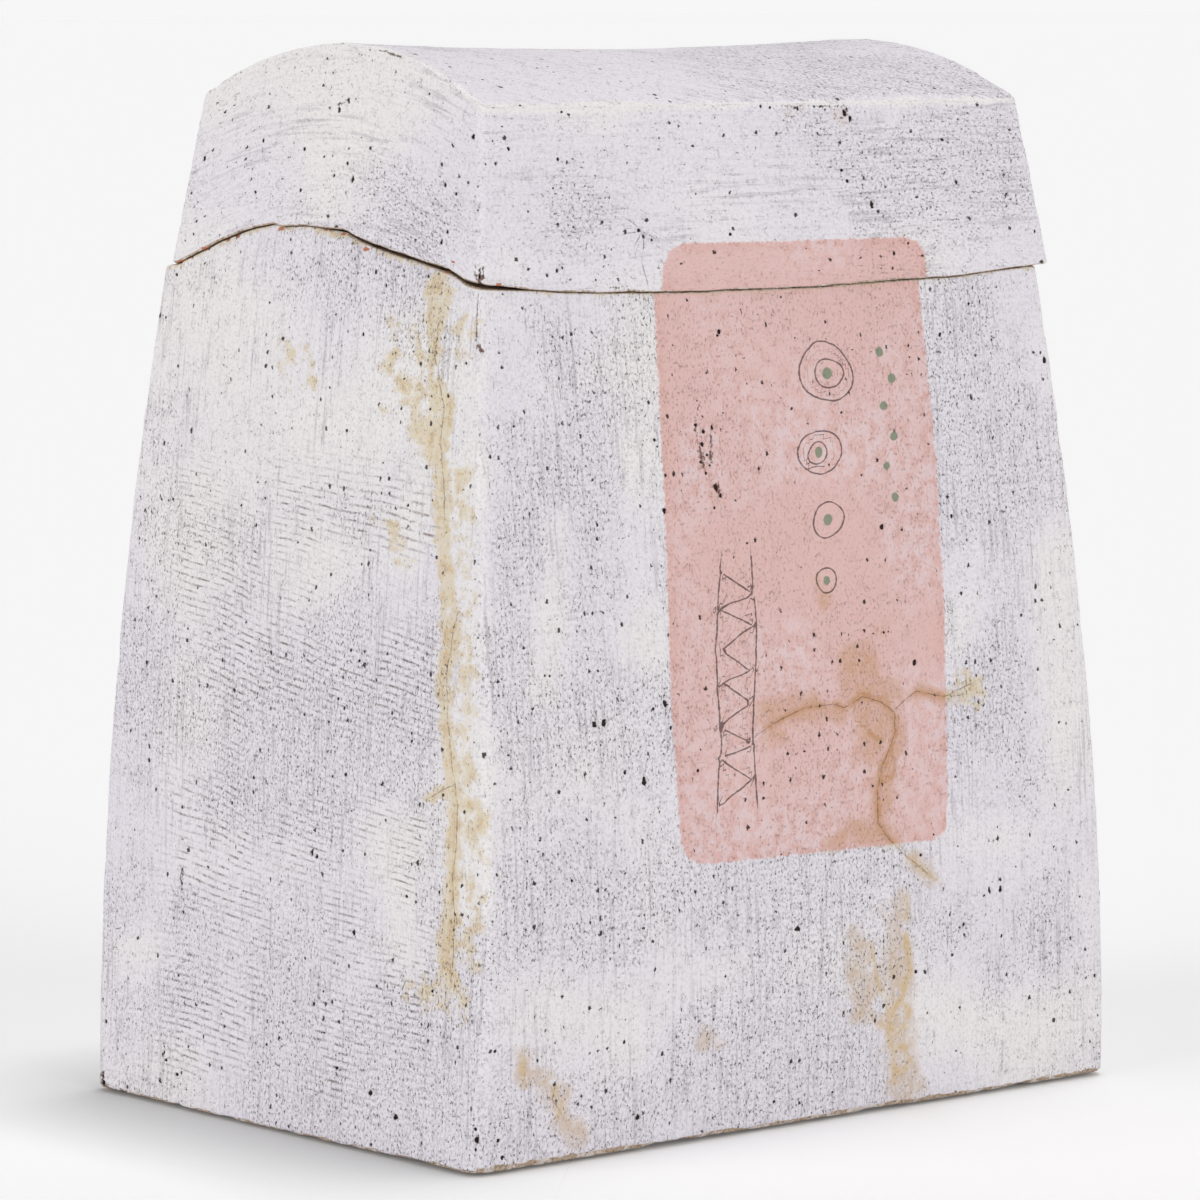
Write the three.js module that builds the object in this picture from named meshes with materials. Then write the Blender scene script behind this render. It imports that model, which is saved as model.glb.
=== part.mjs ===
// A slab-built stoneware jar and its saddle-backed lid, parted by a wavy hand-cut seam.
// Millimetres, +Z up. The origin is on the ground, under the middle of the jar's foot.
// The long front faces -Y and the narrow ends face -X and +X.
import * as THREE from 'three';

// The jar's outside
const footWidth = 277.8;
const footDepth = 201.2;
const rimWidth = 241;
const rimDepth = 164.8;
const rimHeight = 273.7;
const footCornerRadius = 6;
const rimCornerRadius = 3;
const footBevel = 1.5;

// How the walls lean in: the lean's straight and squared shares, and its cubed share is the rest
const endLean = { straight: 0.93, squared: -0.78 };
const frontLean = { straight: -1, squared: 3.24 };

// The slabs, and the soft coils pressed into their inner corners
const jarWall = 10;
const floorThickness = 11;
const coilLeg = 9;
const coilHollow = 0.33;
const luteGap = 0.3;

// The seam between jar and lid: it arches over both ends and sags along the front and back
const endArchRise = 15.8;
const endArchPeak = 0.2;
const endArchPower = 1.3;
const longSag = 4;
const backRise = 1.8;
const seamGap = 0.3;

// How far the lid's lower edge stands out past the rim, how far its sides lean in, and its height
const lidProudEnds = 3.45;
const lidProudFront = -1.7;
const lidLeanEnds = 8;
const lidLeanFront = 8.4;
const lidHeight = 56.3;
const lidWall = 9;
const lidTopThickness = 10;
const lidCoilLeg = 7;

// The top's rise above its corners, at mid length, and how much more it rises at both ends
const crownRise = 15.4;
const crownEndLift = 3.2;

// The strips round the mouth that keep the lid in place
const stripThickness = 7;
const stripBelow = 18;
const stripAbove = 12;
const stripStep = 2;
const lidPlay = 2.6;

// How far the lid has slid on the rim, as shares of its play
const lidSlideX = 0.88;
const lidSlideY = -0.88;

// Facets: the rounded corners take the outer shares of each wall's columns
const wallColumns = 20;
const wallRows = 12;
const straightShare = 0.8;
const coilSteps = 8;
const lidWallRows = 3;
const filletSteps = 3;
const settleRounds = 6;
const eighthTurn = Math.PI / 4;
const cornerShare = 0.999;

const whiteSlip = { color: 0xe2dde3, roughness: 0.92, metalness: 0 };
const bareClay = { color: 0xb9a48f, roughness: 0.96, metalness: 0 };

const lidSlide = new THREE.Vector3(lidSlideX * lidPlay, lidSlideY * lidPlay, 0);

// Each side looks out one way, and runs anticlockwise seen from above
const sides = {
  front: { out: new THREE.Vector3(0, -1, 0), along: new THREE.Vector3(1, 0, 0) },
  right: { out: new THREE.Vector3(1, 0, 0), along: new THREE.Vector3(0, 1, 0) },
  back: { out: new THREE.Vector3(0, 1, 0), along: new THREE.Vector3(-1, 0, 0) },
  left: { out: new THREE.Vector3(-1, 0, 0), along: new THREE.Vector3(0, -1, 0) },
};
const corners = {
  front_left: { x: -1, y: -1 },
  front_right: { x: 1, y: -1 },
  back_right: { x: 1, y: 1 },
  back_left: { x: -1, y: 1 },
};

function leaning(foot, rim, lean, z) {
  const t = Math.max(z, 0) / rimHeight;
  const cubed = 1 - lean.straight - lean.squared;
  return (foot - (foot - rim) * (lean.straight * t + lean.squared * t ** 2 + cubed * t ** 3)) / 2;
}

function lidLeaning(rim, proud, leanIn, z) {
  return rim / 2 + proud - leanIn * (z - rimHeight) / lidHeight;
}

// A shell says how far its outside reaches from the middle at a height, and its corner radius there
const jar = {
  reachX: (z) => leaning(footWidth, rimWidth, endLean, z),
  reachY: (z) => leaning(footDepth, rimDepth, frontLean, z),
  radius: (z) => THREE.MathUtils.lerp(footCornerRadius, rimCornerRadius, z / rimHeight),
  wall: jarWall,
  slide: new THREE.Vector3(),
};
const lid = {
  reachX: (z) => lidLeaning(rimWidth, lidProudEnds, lidLeanEnds, z),
  reachY: (z) => lidLeaning(rimDepth, lidProudFront, lidLeanFront, z),
  radius: () => rimCornerRadius,
  wall: lidWall,
  slide: lidSlide,
};

function reach(shell, direction, z) {
  return Math.abs(direction.x) * shell.reachX(z) + Math.abs(direction.y) * shell.reachY(z);
}

function onSide(side, alongBy, outBy, z) {
  return new THREE.Vector3(0, 0, z).addScaledVector(side.along, alongBy).addScaledVector(side.out, outBy);
}

function hill(share) {
  const run = (share - endArchPeak) / (Math.sign(share - endArchPeak) - endArchPeak);
  return Math.max(Math.cos(run * Math.PI / 2), 0) ** endArchPower;
}

function slant(y) {
  return backRise * THREE.MathUtils.clamp(y / rimDepth, -0.5, 0.5);
}

// The seam's height over a point of the plan: one surface, so that jar and lid meet all round
function seamHeight(point) {
  const length = THREE.MathUtils.clamp(point.x * 2 / rimWidth, -1, 1);
  const arch = endArchRise * hill(THREE.MathUtils.clamp(point.y * 2 / rimDepth, -1, 1));
  return rimHeight + slant(point.y) + arch - longSag * (1 - length ** 2);
}

// A column of a wall: its share of the straight stretch, and its turn round the corner, both signed
function column(share) {
  const at = share * 2 - 1;
  const turn = Math.max(Math.abs(at) - straightShare, 0) / (1 - straightShare);
  return {
    sign: Math.sign(at),
    straight: Math.min(Math.abs(at) / straightShare, 1),
    angle: turn * eighthTurn,
    last: turn > cornerShare,
  };
}

// A point of a mitred wall, from its outer face at depth 0 to its inner face at depth 1
function wallPoint(shell, side, share, depth, z, bevel = 0) {
  const { sign, straight, angle, last } = column(share);
  const out = reach(shell, side.out, z) - bevel;
  const half = reach(shell, side.along, z) - bevel;
  const radius = shell.radius(z);
  const outerAlong = straight * (half - radius) + radius * Math.sin(angle);
  const cornerAlong = half - radius * (1 - Math.SQRT1_2);
  const innerAlong = outerAlong * (half + bevel - shell.wall) / cornerAlong;
  const along = THREE.MathUtils.lerp(outerAlong, innerAlong, depth) - (last ? luteGap * Math.SQRT1_2 : 0);
  const outerOut = out - radius * (1 - Math.cos(angle));
  const away = THREE.MathUtils.lerp(outerOut, out + bevel - shell.wall, depth);
  return onSide(side, sign * along, away, z);
}

// The height at which a wall's column meets a surface whose height varies over the plan
function meeting(shell, side, share, depth, heightAt) {
  let z = rimHeight;
  for (let round = 0; round < settleRounds; round++) {
    z = heightAt(wallPoint(shell, side, share, depth, z).add(shell.slide));
  }
  return z;
}

// A box whose points are placed by a function of three shares, each from 0 to 1
function bentBox(name, look, segments, place) {
  const geometry = new THREE.BoxGeometry(1, 1, 1, ...segments);
  const position = geometry.attributes.position;
  const share = new THREE.Vector3();
  for (let i = 0; i < position.count; i++) {
    share.fromBufferAttribute(position, i).addScalar(0.5);
    position.setXYZ(i, ...place(share.x, share.y, share.z).toArray());
  }
  return finished(name, look, geometry);
}

function finished(name, look, geometry) {
  geometry.computeVertexNormals();
  const mesh = new THREE.Mesh(geometry, new THREE.MeshStandardMaterial(look));
  mesh.name = name;
  return mesh;
}

function jarWallSlab(name, side) {
  return bentBox(name, whiteSlip, [wallColumns, 1, wallRows], (share, depth, up) => {
    const top = meeting(jar, side, share, depth, seamHeight);
    const row = Math.round(up * wallRows);
    const z = row === 0 ? 0 : footBevel + (top - footBevel) * (row - 1) / (wallRows - 1);
    const bevel = row === 0 && depth === 0 ? footBevel : 0;
    return wallPoint(jar, side, share, depth, z, bevel);
  });
}

function floorSlab() {
  return bentBox('floor_slab', bareClay, [1, 1, 1], (u, v, up) => {
    const z = up * floorThickness;
    const halfX = jar.reachX(z) - jarWall - luteGap;
    const halfY = jar.reachY(z) - jarWall - luteGap;
    return new THREE.Vector3((u * 2 - 1) * halfX, (v * 2 - 1) * halfY, z);
  });
}

// A coil's section: two straight legs in the corner, and a hollow face left by a thumb
function filletShape(leg) {
  const shape = new THREE.Shape();
  shape.moveTo(0, 0);
  shape.lineTo(leg, 0);
  shape.quadraticCurveTo(leg * coilHollow, leg * coilHollow, 0, leg);
  shape.closePath();
  return shape;
}

function bentFillet(name, leg, place) {
  const options = { depth: 1, steps: coilSteps, curveSegments: filletSteps, bevelEnabled: false };
  const geometry = new THREE.ExtrudeGeometry(filletShape(leg), options);
  const position = geometry.attributes.position;
  for (let i = 0; i < position.count; i++) {
    const point = place(position.getX(i), position.getY(i), position.getZ(i));
    position.setXYZ(i, ...point.toArray());
  }
  return finished(name, bareClay, geometry);
}

// A point in from an inner corner at the seam, in the jar's frame
function innerCorner(shell, corner, inX, inY) {
  const x = corner.x * (shell.reachX(rimHeight) - shell.wall - inX);
  const y = corner.y * (shell.reachY(rimHeight) - shell.wall - inY);
  return new THREE.Vector3(x, y, 0).add(shell.slide);
}

// A coil up an inner corner of a shell
function uprightCoil(name, shell, corner, leg, bottom, top) {
  const inset = shell.wall + luteGap;
  return bentFillet(name, leg, (first, second, share) => {
    const z = THREE.MathUtils.lerp(bottom, top, share);
    const [p, q] = corner.x * corner.y > 0 ? [first, second] : [second, first];
    return new THREE.Vector3(
      corner.x * (shell.reachX(z) - inset - p),
      corner.y * (shell.reachY(z) - inset - q),
      z,
    );
  });
}

// A coil along the foot of a wall, on the floor, between the corners' coils
function floorCoil(name, side) {
  const bottom = floorThickness + luteGap;
  return bentFillet(name, coilLeg, (inward, up, share) => {
    const z = bottom + up;
    const half = reach(jar, side.along, z) - jarWall - coilLeg - 2 * luteGap;
    return onSide(side, (share * 2 - 1) * half, reach(jar, side.out, z) - jarWall - luteGap - inward, z);
  });
}

// How far the strips' outer faces step in to clear the lid above them, alike all round
function stripInset(z) {
  const narrower = Math.max(jar.reachX(z) - lid.reachX(z), jar.reachY(z) - lid.reachY(z));
  return Math.max(narrower + lidWall + lidPlay - jarWall - luteGap, 0);
}

function stripPoint(side, at, depth, inLid, z) {
  const outerInset = inLid ? stripInset(z) : 0;
  const inset = jarWall + luteGap + (depth ? stripThickness : outerInset);
  const mitre = Math.abs(at) > cornerShare ? luteGap * Math.SQRT1_2 : 0;
  const along = at * (reach(jar, side.along, z) - inset) - Math.sign(at) * mitre;
  return onSide(side, along, reach(jar, side.out, z) - inset, z);
}

function rimStrip(name, side) {
  const rows = [
    { rise: -stripBelow, inLid: false },
    { rise: -2 * stripStep, inLid: false },
    { rise: -stripStep, inLid: true },
    { rise: stripAbove, inLid: true },
  ];
  return bentBox(name, bareClay, [wallColumns, 1, rows.length - 1], (share, depth, up) => {
    const { rise, inLid } = rows[Math.round(up * (rows.length - 1))];
    const at = share * 2 - 1;
    let point = stripPoint(side, at, depth, inLid, rimHeight);
    for (let round = 0; round < settleRounds; round++) {
      point = stripPoint(side, at, depth, inLid, seamHeight(point) + rise);
    }
    return point;
  });
}

// The lid's top over a point, or a surface below it: arched across, and lowest at mid length
function crownHeight(point, drop) {
  const level = rimHeight + lidHeight - drop;
  const along = (point.x - lidSlide.x) / lid.reachX(level);
  const across = THREE.MathUtils.clamp((point.y - lidSlide.y) / lid.reachY(level), -1, 1);
  return level + slant(point.y) + (crownRise + crownEndLift * along ** 2) * (1 - across ** 2);
}

function lidWallSlab(name, side) {
  return bentBox(name, whiteSlip, [wallColumns, 1, lidWallRows], (share, depth, up) => {
    const bottom = meeting(lid, side, share, depth, (point) => seamHeight(point) + seamGap);
    const top = meeting(lid, side, share, depth, (point) => crownHeight(point, lidTopThickness) - luteGap);
    return wallPoint(lid, side, share, depth, THREE.MathUtils.lerp(bottom, top, up));
  });
}

// A plan with round corners from a square of shares: each corner patch turns into a quarter disc
function roundedPlan(u, v, halfX, halfY, radius) {
  const alongX = column(u);
  const alongY = column(v);
  const turnX = alongX.angle / eighthTurn;
  const turnY = alongY.angle / eighthTurn;
  const distance = Math.max(turnX, turnY);
  const least = distance ? Math.min(turnX, turnY) / distance * eighthTurn : 0;
  const angle = turnX >= turnY ? least : Math.PI / 2 - least;
  const inCorner = turnX > 0 && turnY > 0;
  const stepX = inCorner ? distance * Math.cos(angle) : turnX;
  const stepY = inCorner ? distance * Math.sin(angle) : turnY;
  return {
    x: alongX.sign * (alongX.straight * (halfX - radius) + radius * stepX),
    y: alongY.sign * (alongY.straight * (halfY - radius) + radius * stepY),
  };
}

function lidTopSlab() {
  const drop = (up) => (1 - up) * lidTopThickness;
  return bentBox('lid_top_slab', whiteSlip, [wallColumns, wallColumns, 1], (u, v, up) => {
    const level = rimHeight + lidHeight - drop(up);
    const { x, y } = roundedPlan(u, v, lid.reachX(level), lid.reachY(level), lid.radius(level));
    const z = crownHeight(new THREE.Vector3(x, y, 0).add(lidSlide), drop(up));
    return new THREE.Vector3(x * lid.reachX(z) / lid.reachX(level), y, z);
  });
}

function jarParts() {
  const parts = [floorSlab()];
  for (const [name, side] of Object.entries(sides)) {
    parts.push(jarWallSlab(`${name}_wall`, side));
    parts.push(floorCoil(`floor_coil_${name}`, side));
    parts.push(rimStrip(`rim_strip_${name}`, side));
  }
  const bottom = floorThickness + luteGap;
  for (const [name, corner] of Object.entries(corners)) {
    const lowest = innerCorner(jar, corner, coilLeg, 0);
    const top = seamHeight(lowest) - stripBelow - stripStep;
    parts.push(uprightCoil(`corner_coil_${name}`, jar, corner, coilLeg, bottom, top));
  }
  return parts;
}

function lidParts() {
  const parts = [lidTopSlab()];
  for (const [name, side] of Object.entries(sides)) {
    parts.push(lidWallSlab(`lid_${name}_wall`, side));
  }
  for (const [name, corner] of Object.entries(corners)) {
    const highest = innerCorner(lid, corner, 0, lidCoilLeg);
    const bottom = seamHeight(highest) + stripAbove + lidPlay;
    const top = rimHeight + lidHeight + slant(highest.y) - lidTopThickness - 2 * luteGap;
    parts.push(uprightCoil(`lid_coil_${name}`, lid, corner, lidCoilLeg, bottom, top));
  }
  return parts;
}

const lidGroup = new THREE.Group();
lidGroup.position.copy(lidSlide);
lidGroup.add(...lidParts());

const slabJar = new THREE.Group();
slabJar.add(...jarParts(), lidGroup);

export default slabJar;
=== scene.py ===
"""A slab-built stoneware jar with a saddle-backed lid, finished in chalky white slip."""
import math

import bmesh
import bpy
import numpy as np
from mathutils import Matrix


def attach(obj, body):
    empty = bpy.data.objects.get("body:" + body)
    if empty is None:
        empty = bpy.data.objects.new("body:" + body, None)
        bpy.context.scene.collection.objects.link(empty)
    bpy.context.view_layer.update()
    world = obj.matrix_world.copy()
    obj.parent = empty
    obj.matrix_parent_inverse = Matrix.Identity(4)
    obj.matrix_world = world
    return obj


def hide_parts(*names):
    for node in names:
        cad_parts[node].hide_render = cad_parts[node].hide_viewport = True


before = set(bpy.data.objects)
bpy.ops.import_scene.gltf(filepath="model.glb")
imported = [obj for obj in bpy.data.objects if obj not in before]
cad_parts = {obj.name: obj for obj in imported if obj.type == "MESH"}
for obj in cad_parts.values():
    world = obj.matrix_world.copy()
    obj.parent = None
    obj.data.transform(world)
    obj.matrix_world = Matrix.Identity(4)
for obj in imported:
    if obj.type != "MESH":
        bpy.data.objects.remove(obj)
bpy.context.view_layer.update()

bl_info = {
    "name": "Lidded slab jar",
    "version": (1, 0, 0),
    "blender": (4, 5, 0),
    "location": "View3D > Sidebar > Slab jar",
    "description": "Builds the slip-covered slabs, lid, coils and strips of a hand-built stoneware jar",
    "category": "Add Mesh",
}

MM = 0.001

# The view of the jar: camera angles in degrees, and where its target lies in a 1200-pixel frame
VIEW_AZIMUTH = -40.655
VIEW_ELEVATION = 5.756
VIEW_DISTANCE = 1.9959
VIEW_LENS = 180
SENSOR_WIDTH = 36
PHOTO_PIXELS = 1200
TARGET = (0, 0, 0.165)
TARGET_PIXEL = (604.1, 592.2)

# Lamps: name, azimuth and elevation in degrees, energy, and width of the soft source in degrees
LAMPS = (("left", -100, 14, 1.34, 50), ("front", 10, 14, 1.24, 50), ("back", 130, 40, 0.3, 60),
         ("top", 95, 82, 0.6, 16))
WORLD_STRENGTH = 0.38
FLOOR_REACH = 60
FLOOR_LIFT = 0.14
# The floor's painted shadow close to the jar, darkening its colour by occlusion: the way that the occlusion
# faces, its reach and its strength
SHADE_FROM = (0.7, -0.6, 0.39)
SHADE_REACH = 0.075
SHADE_POWER = 0.5

# Straight and squared shares of the walls' lean, for the ends and for the front and back
LEAN = ((0.93, -0.78), (-1.0, 3.24))
FOOT_CORNER = 6
RIM_CORNER = 3
LID_EDGE = 1.7
ARCH_PEAK = 0.2
ARCH_POWER = 1.3
EIGHTH_TURN = math.pi / 4
SHARP_ANGLE = math.radians(40)
HALF_CUT = 1 - math.cos(EIGHTH_TURN)

# Each side looks out one way, and runs anticlockwise seen from above
SIDES = {
    "front": {"out": (0, -1), "along": (1, 0)},
    "right": {"out": (1, 0), "along": (0, 1)},
    "back": {"out": (0, 1), "along": (-1, 0)},
    "left": {"out": (-1, 0), "along": (0, -1)},
}

# Cells over each slab's outer face: along it, and up it
WALL_CELLS = {"front": (272, 256), "back": (272, 256), "left": (176, 368), "right": (176, 368)}
LID_CELLS = {"front": (256, 76), "back": (256, 76), "left": (176, 92), "right": (176, 92)}
TOP_CELLS = (256, 176)
CELLS_PER_BLOCK = 4
WALL_SEED, LID_SEED, TOP_SEED = 60, 70, 80
CORNER_CELLS = 6


def length(name, description, default):
    """A size in metres."""
    return bpy.props.FloatProperty(name=name, description=description, default=default, unit="LENGTH")


def pair(name, description, default):
    """Two sizes in metres, the first along X and the second along Y."""
    return bpy.props.FloatVectorProperty(
        name=name, description=description, default=default, size=2, unit="LENGTH")


class SlabJarSizes(bpy.types.PropertyGroup):
    """Sizes of the jar and lid"""
    foot_width: length("Foot width", "Width of the jar at its foot", 0.2778)
    foot_depth: length("Foot depth", "Depth of the jar at its foot", 0.2012)
    rim_width: length("Rim width", "Width of the jar at its rim", 0.241)
    rim_depth: length("Rim depth", "Depth of the jar at its rim", 0.1648)
    rim_height: length("Rim height", "Height of the rim's corners", 0.2737)
    lid_height: length("Lid height", "From the rim to the lid's upper corners", 0.0563)
    jar_wall: length("Jar wall", "Thickness of the jar's slabs", 0.01)
    lid_wall: length("Lid wall", "Thickness of the lid's side slabs", 0.009)
    lid_top: length("Lid top", "Thickness of the lid's top slab", 0.01)
    lid_proud: pair("Lid proud", "How far the lid's lower edge stands past the rim, at the ends and front",
                    (0.00345, -0.0017))
    lid_lean: pair("Lid lean", "How far the lid's sides lean in, at the ends and front", (0.008, 0.0084))
    lid_slide: pair("Lid slide", "How far the lid has slid on the rim", (0.002288, -0.002288))
    arch_rise: length("Arch rise", "How far the seam arches over the ends", 0.0158)
    long_sag: length("Long sag", "How far the seam sags along the front and back", 0.004)
    back_rise: length("Back rise", "How much higher the back of the seam is", 0.0018)
    crown_rise: length("Crown rise", "Rise of the lid's top at mid length", 0.0154)
    crown_end_lift: length("Crown end lift", "How much more the top rises at its ends", 0.0032)


def colour_property(name, description, red, green, blue):
    """A colour given as the 0 to 255 values of a picture."""
    return bpy.props.FloatVectorProperty(
        name=name, description=description, subtype="COLOR", size=4, min=0, max=1,
        default=(*(linear(value) for value in (red, green, blue)), 1))


def linear(value):
    """A picture's 0 to 255 value as light."""
    share = value / 255
    return share / 12.92 if share <= 0.04045 else ((share + 0.055) / 1.055) ** 2.4


class SlabJarColours(bpy.types.PropertyGroup):
    """Colours of the slip, the washes and the clay"""
    cream: colour_property("Cream slip", "The palest slip", 249, 246, 245)
    lilac: colour_property("Lilac slip", "Slip that has dried cool", 241, 237, 244)
    stroke: colour_property("Stroke shadow", "Thin slip between brush strokes", 188, 180, 189)
    grime: colour_property("Grime", "Clay that shows through crumbling slip", 172, 160, 160)
    speck: colour_property("Specks", "Burnt-out grog and pits", 58, 47, 44)
    pink: colour_property("Pink wash", "The field painted on the front", 235, 196, 190)
    coral: colour_property("Coral", "Where the pink wash is thick", 222, 166, 155)
    ochre: colour_property("Ochre", "Yellow run down the end", 232, 218, 186)
    run_edge: colour_property("Run edge", "Where the yellow run has dried thick", 221, 192, 138)
    rust: colour_property("Rust", "Iron stains on the slip", 218, 198, 178)
    deep_rust: colour_property("Deep rust", "Iron stains on the pink wash", 217, 173, 146)
    vein: colour_property("Vein", "Rust along the cracks", 204, 154, 112)
    gouge: colour_property("Gouge", "Torn clay at the bottom of a gouge", 112, 80, 66)
    clay: colour_property("Bare clay", "Fired clay without slip", 205, 184, 160)
    # Dark clay is also painted as shade over the seam's faces
    dark_clay_and_seam_shade: colour_property("Dark clay", "Clay in the joints", 120, 100, 85)
    terracotta: colour_property("Terracotta", "Flakes of red clay", 200, 134, 104)
    green: colour_property("Green", "Painted marks", 124, 146, 118)
    scratched: colour_property("Scratched line", "Lines drawn into the field", 74, 56, 54)
    floor: colour_property("Floor", "The floor under the jar", 247, 247, 247)
    floor_bounce: colour_property("Floor bounce", "What the floor throws back on the jar", 232, 230, 232)


class Form:
    """The outside of jar and lid and the seam between them, in millimetres."""

    def __init__(self, sizes):
        def mm(name):
            value = getattr(sizes, name)
            return value / MM if isinstance(value, float) else tuple(part / MM for part in value)

        self.foot = (mm("foot_width"), mm("foot_depth"))
        self.rim = (mm("rim_width"), mm("rim_depth"))
        self.wall = {"jar": mm("jar_wall"), "lid": mm("lid_wall")}
        self.slide = {"jar": (0, 0), "lid": mm("lid_slide")}
        for name in ("rim_height", "lid_height", "lid_top", "lid_proud", "lid_lean", "arch_rise",
                     "long_sag", "back_rise", "crown_rise", "crown_end_lift"):
            setattr(self, name, mm(name))

    def reach(self, shell, axis, z):
        """How far a shell's outside reaches from its middle, along X for axis 0 and Y for axis 1."""
        if shell == "lid":
            share = (z - self.rim_height) / self.lid_height
            return self.rim[axis] / 2 + self.lid_proud[axis] - self.lid_lean[axis] * share
        t = np.maximum(z, 0) / self.rim_height
        straight, squared = LEAN[axis]
        share = straight * t + squared * t ** 2 + (1 - straight - squared) * t ** 3
        return (self.foot[axis] - (self.foot[axis] - self.rim[axis]) * share) / 2

    def corner(self, shell, z):
        """The radius of a shell's upright corners."""
        if shell == "lid":
            return np.full_like(z, RIM_CORNER)
        return FOOT_CORNER + (RIM_CORNER - FOOT_CORNER) * np.clip(z / self.rim_height, 0, 1)

    def slant(self, y):
        return self.back_rise * np.clip(y / self.rim[1], -0.5, 0.5)

    def seam(self, x, y):
        """The seam's height over the plan, as it was cut by hand."""
        along = np.clip(2 * x / self.rim[0], -1, 1)
        across = np.clip(2 * y / self.rim[1], -1, 1)
        run = (across - ARCH_PEAK) / (np.sign(across - ARCH_PEAK) - ARCH_PEAK)
        arch = self.arch_rise * np.maximum(np.cos(run * math.pi / 2), 0) ** ARCH_POWER
        level = self.rim_height + self.slant(y) + arch - self.long_sag * (1 - along ** 2)
        return level + hand_cut(x, y)

    def crown(self, x, y, drop=0):
        """The lid's top over the plan, or a surface below it."""
        level = self.rim_height + self.lid_height - drop
        slide = self.slide["lid"]
        along = (x - slide[0]) / self.reach("lid", 0, level)
        across = np.clip((y - slide[1]) / self.reach("lid", 1, level), -1, 1)
        rise = self.crown_rise + self.crown_end_lift * along ** 2
        return level + self.slant(y) + rise * (1 - across ** 2)


# Seeded noise for everything that the hand leaves uneven

def lattice(cells, seed):
    """A number from -1 to 1 for each whole-number cell."""
    mixed = cells[:, 0] * 73856093 ^ cells[:, 1] * 19349663 ^ cells[:, 2] * 83492791 ^ seed * 40503
    mixed = ((mixed ^ (mixed >> 13)) * 1274126177) & 0x7FFFFFFF
    mixed = ((mixed ^ (mixed >> 15)) * 2246822519) & 0x7FFFFFFF
    return mixed / 0x3FFFFFFF - 1


def uneven(points, size, seed):
    """Smooth noise from -1 to 1 whose bumps are about size across."""
    scaled = points / size
    cells = np.floor(scaled).astype(np.int64)
    within = scaled - cells
    within = within * within * (3 - 2 * within)
    total = np.zeros(len(points))
    for corner in np.ndindex(2, 2, 2):
        step = np.array(corner)
        weight = np.prod(np.where(step, within, 1 - within), axis=1)
        total += weight * lattice(cells + step, seed)
    return total


def layered(points, size, seed, layers=3):
    """Noise with finer and fainter layers on top."""
    return sum(uneven(points, size / 2 ** i, seed + i) / 2 ** i for i in range(layers))


def plan_points(x, y):
    return np.stack([x, y, np.zeros_like(x)], axis=1)


def smooth(value, low, high):
    """0 below low, 1 above high, and a smooth rise between them."""
    share = np.clip((value - low) / (high - low), 0, 1)
    return share * share * (3 - 2 * share)


# The knife's wanderings over the left end: place along Y, and rise above the planned curve
KNIFE_Y = (-86, -74, -66, -58, -48, -36, -27, -18, -12, 0, 8, 14, 20, 25, 30, 48, 66, 74, 84)
KNIFE_RISE = (
    0, 0.1, 1.4, 1.0, 0.3, -0.6, -0.9, -0.6, 0.6, 0.3, 0.2, -0.3, -0.8, 0.3, 0.1, 0, -0.4, -0.9, 0)


def hand_cut(x, y):
    """How far the knife strayed from the planned seam."""
    drift = 0.35 * uneven(plan_points(x, y), 17, 5) + 0.12 * uneven(plan_points(x, y), 5, 6)
    left_end = smooth(-x, 95, 112)
    return drift * (1 - left_end) + left_end * (np.interp(y, KNIFE_Y, KNIFE_RISE) + 0.25 * drift)


def opening(x, y):
    """How wide the seam gapes: most towards the front of the left end."""
    points = plan_points(x, y)
    ragged = 0.5 + 0.5 * layered(points, 12, 8, 2)
    left_end = smooth(-x, 100, 114)
    gape = left_end * smooth(-y, -4, 22) * (0.95 + 0.4 * uneven(points, 14, 9))
    near_corner = smooth(-x, 96, 122) * smooth(-y, 70, 84) * 0.15
    return 0.16 + 0.26 * ragged + gape + near_corner


# Slabs: a block of shares that a formula then places

def unit_slab(across, up):
    """A closed slab of shares: 0 to 1 over its face, with 0 on the outer face and 1 on the inner."""
    bm = bmesh.new()
    columns, rows = across // CELLS_PER_BLOCK, up // CELLS_PER_BLOCK
    bmesh.ops.create_grid(bm, x_segments=columns, y_segments=rows, size=0.5)
    bmesh.ops.translate(bm, verts=bm.verts, vec=(0.5, 0.5, 0))
    inner = bmesh.ops.extrude_face_region(bm, geom=list(bm.faces), use_keep_orig=True)["geom"]
    inner_verts = [part for part in inner if isinstance(part, bmesh.types.BMVert)]
    bmesh.ops.translate(bm, verts=inner_verts, vec=(0, 0, 1))
    outer_edges = [edge for edge in bm.edges if all(vert.co.z < 0.5 for vert in edge.verts)]
    bmesh.ops.subdivide_edges(bm, edges=outer_edges, cuts=CELLS_PER_BLOCK - 1, use_grid_fill=True)
    return bm


def shares_of(bm):
    return np.array([vert.co[:] for vert in bm.verts])


def refine(bm, near):
    """Cuts the outer cells around the marked corners four times finer."""
    bm.verts.ensure_lookup_table()
    faces = {face for index in np.flatnonzero(near) for face in bm.verts[index].link_faces}
    edges = {edge for face in faces for edge in face.edges if all(vert.co.z < 0.5 for vert in edge.verts)}
    bmesh.ops.subdivide_edges(bm, edges=list(edges), cuts=CELLS_PER_BLOCK - 1, use_grid_fill=True)


def closer_ends(share, strength=0.5):
    """Rows that lie closer together near both ends."""
    return share - strength * np.sin(2 * math.pi * share) / (2 * math.pi)


def rounded(distance, radius):
    """How far an edge of this radius steps in, at a distance from the edge."""
    share = np.clip(1 - distance / radius, 0, 1)
    return radius * (1 - np.sqrt(1 - share ** 2))


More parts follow.
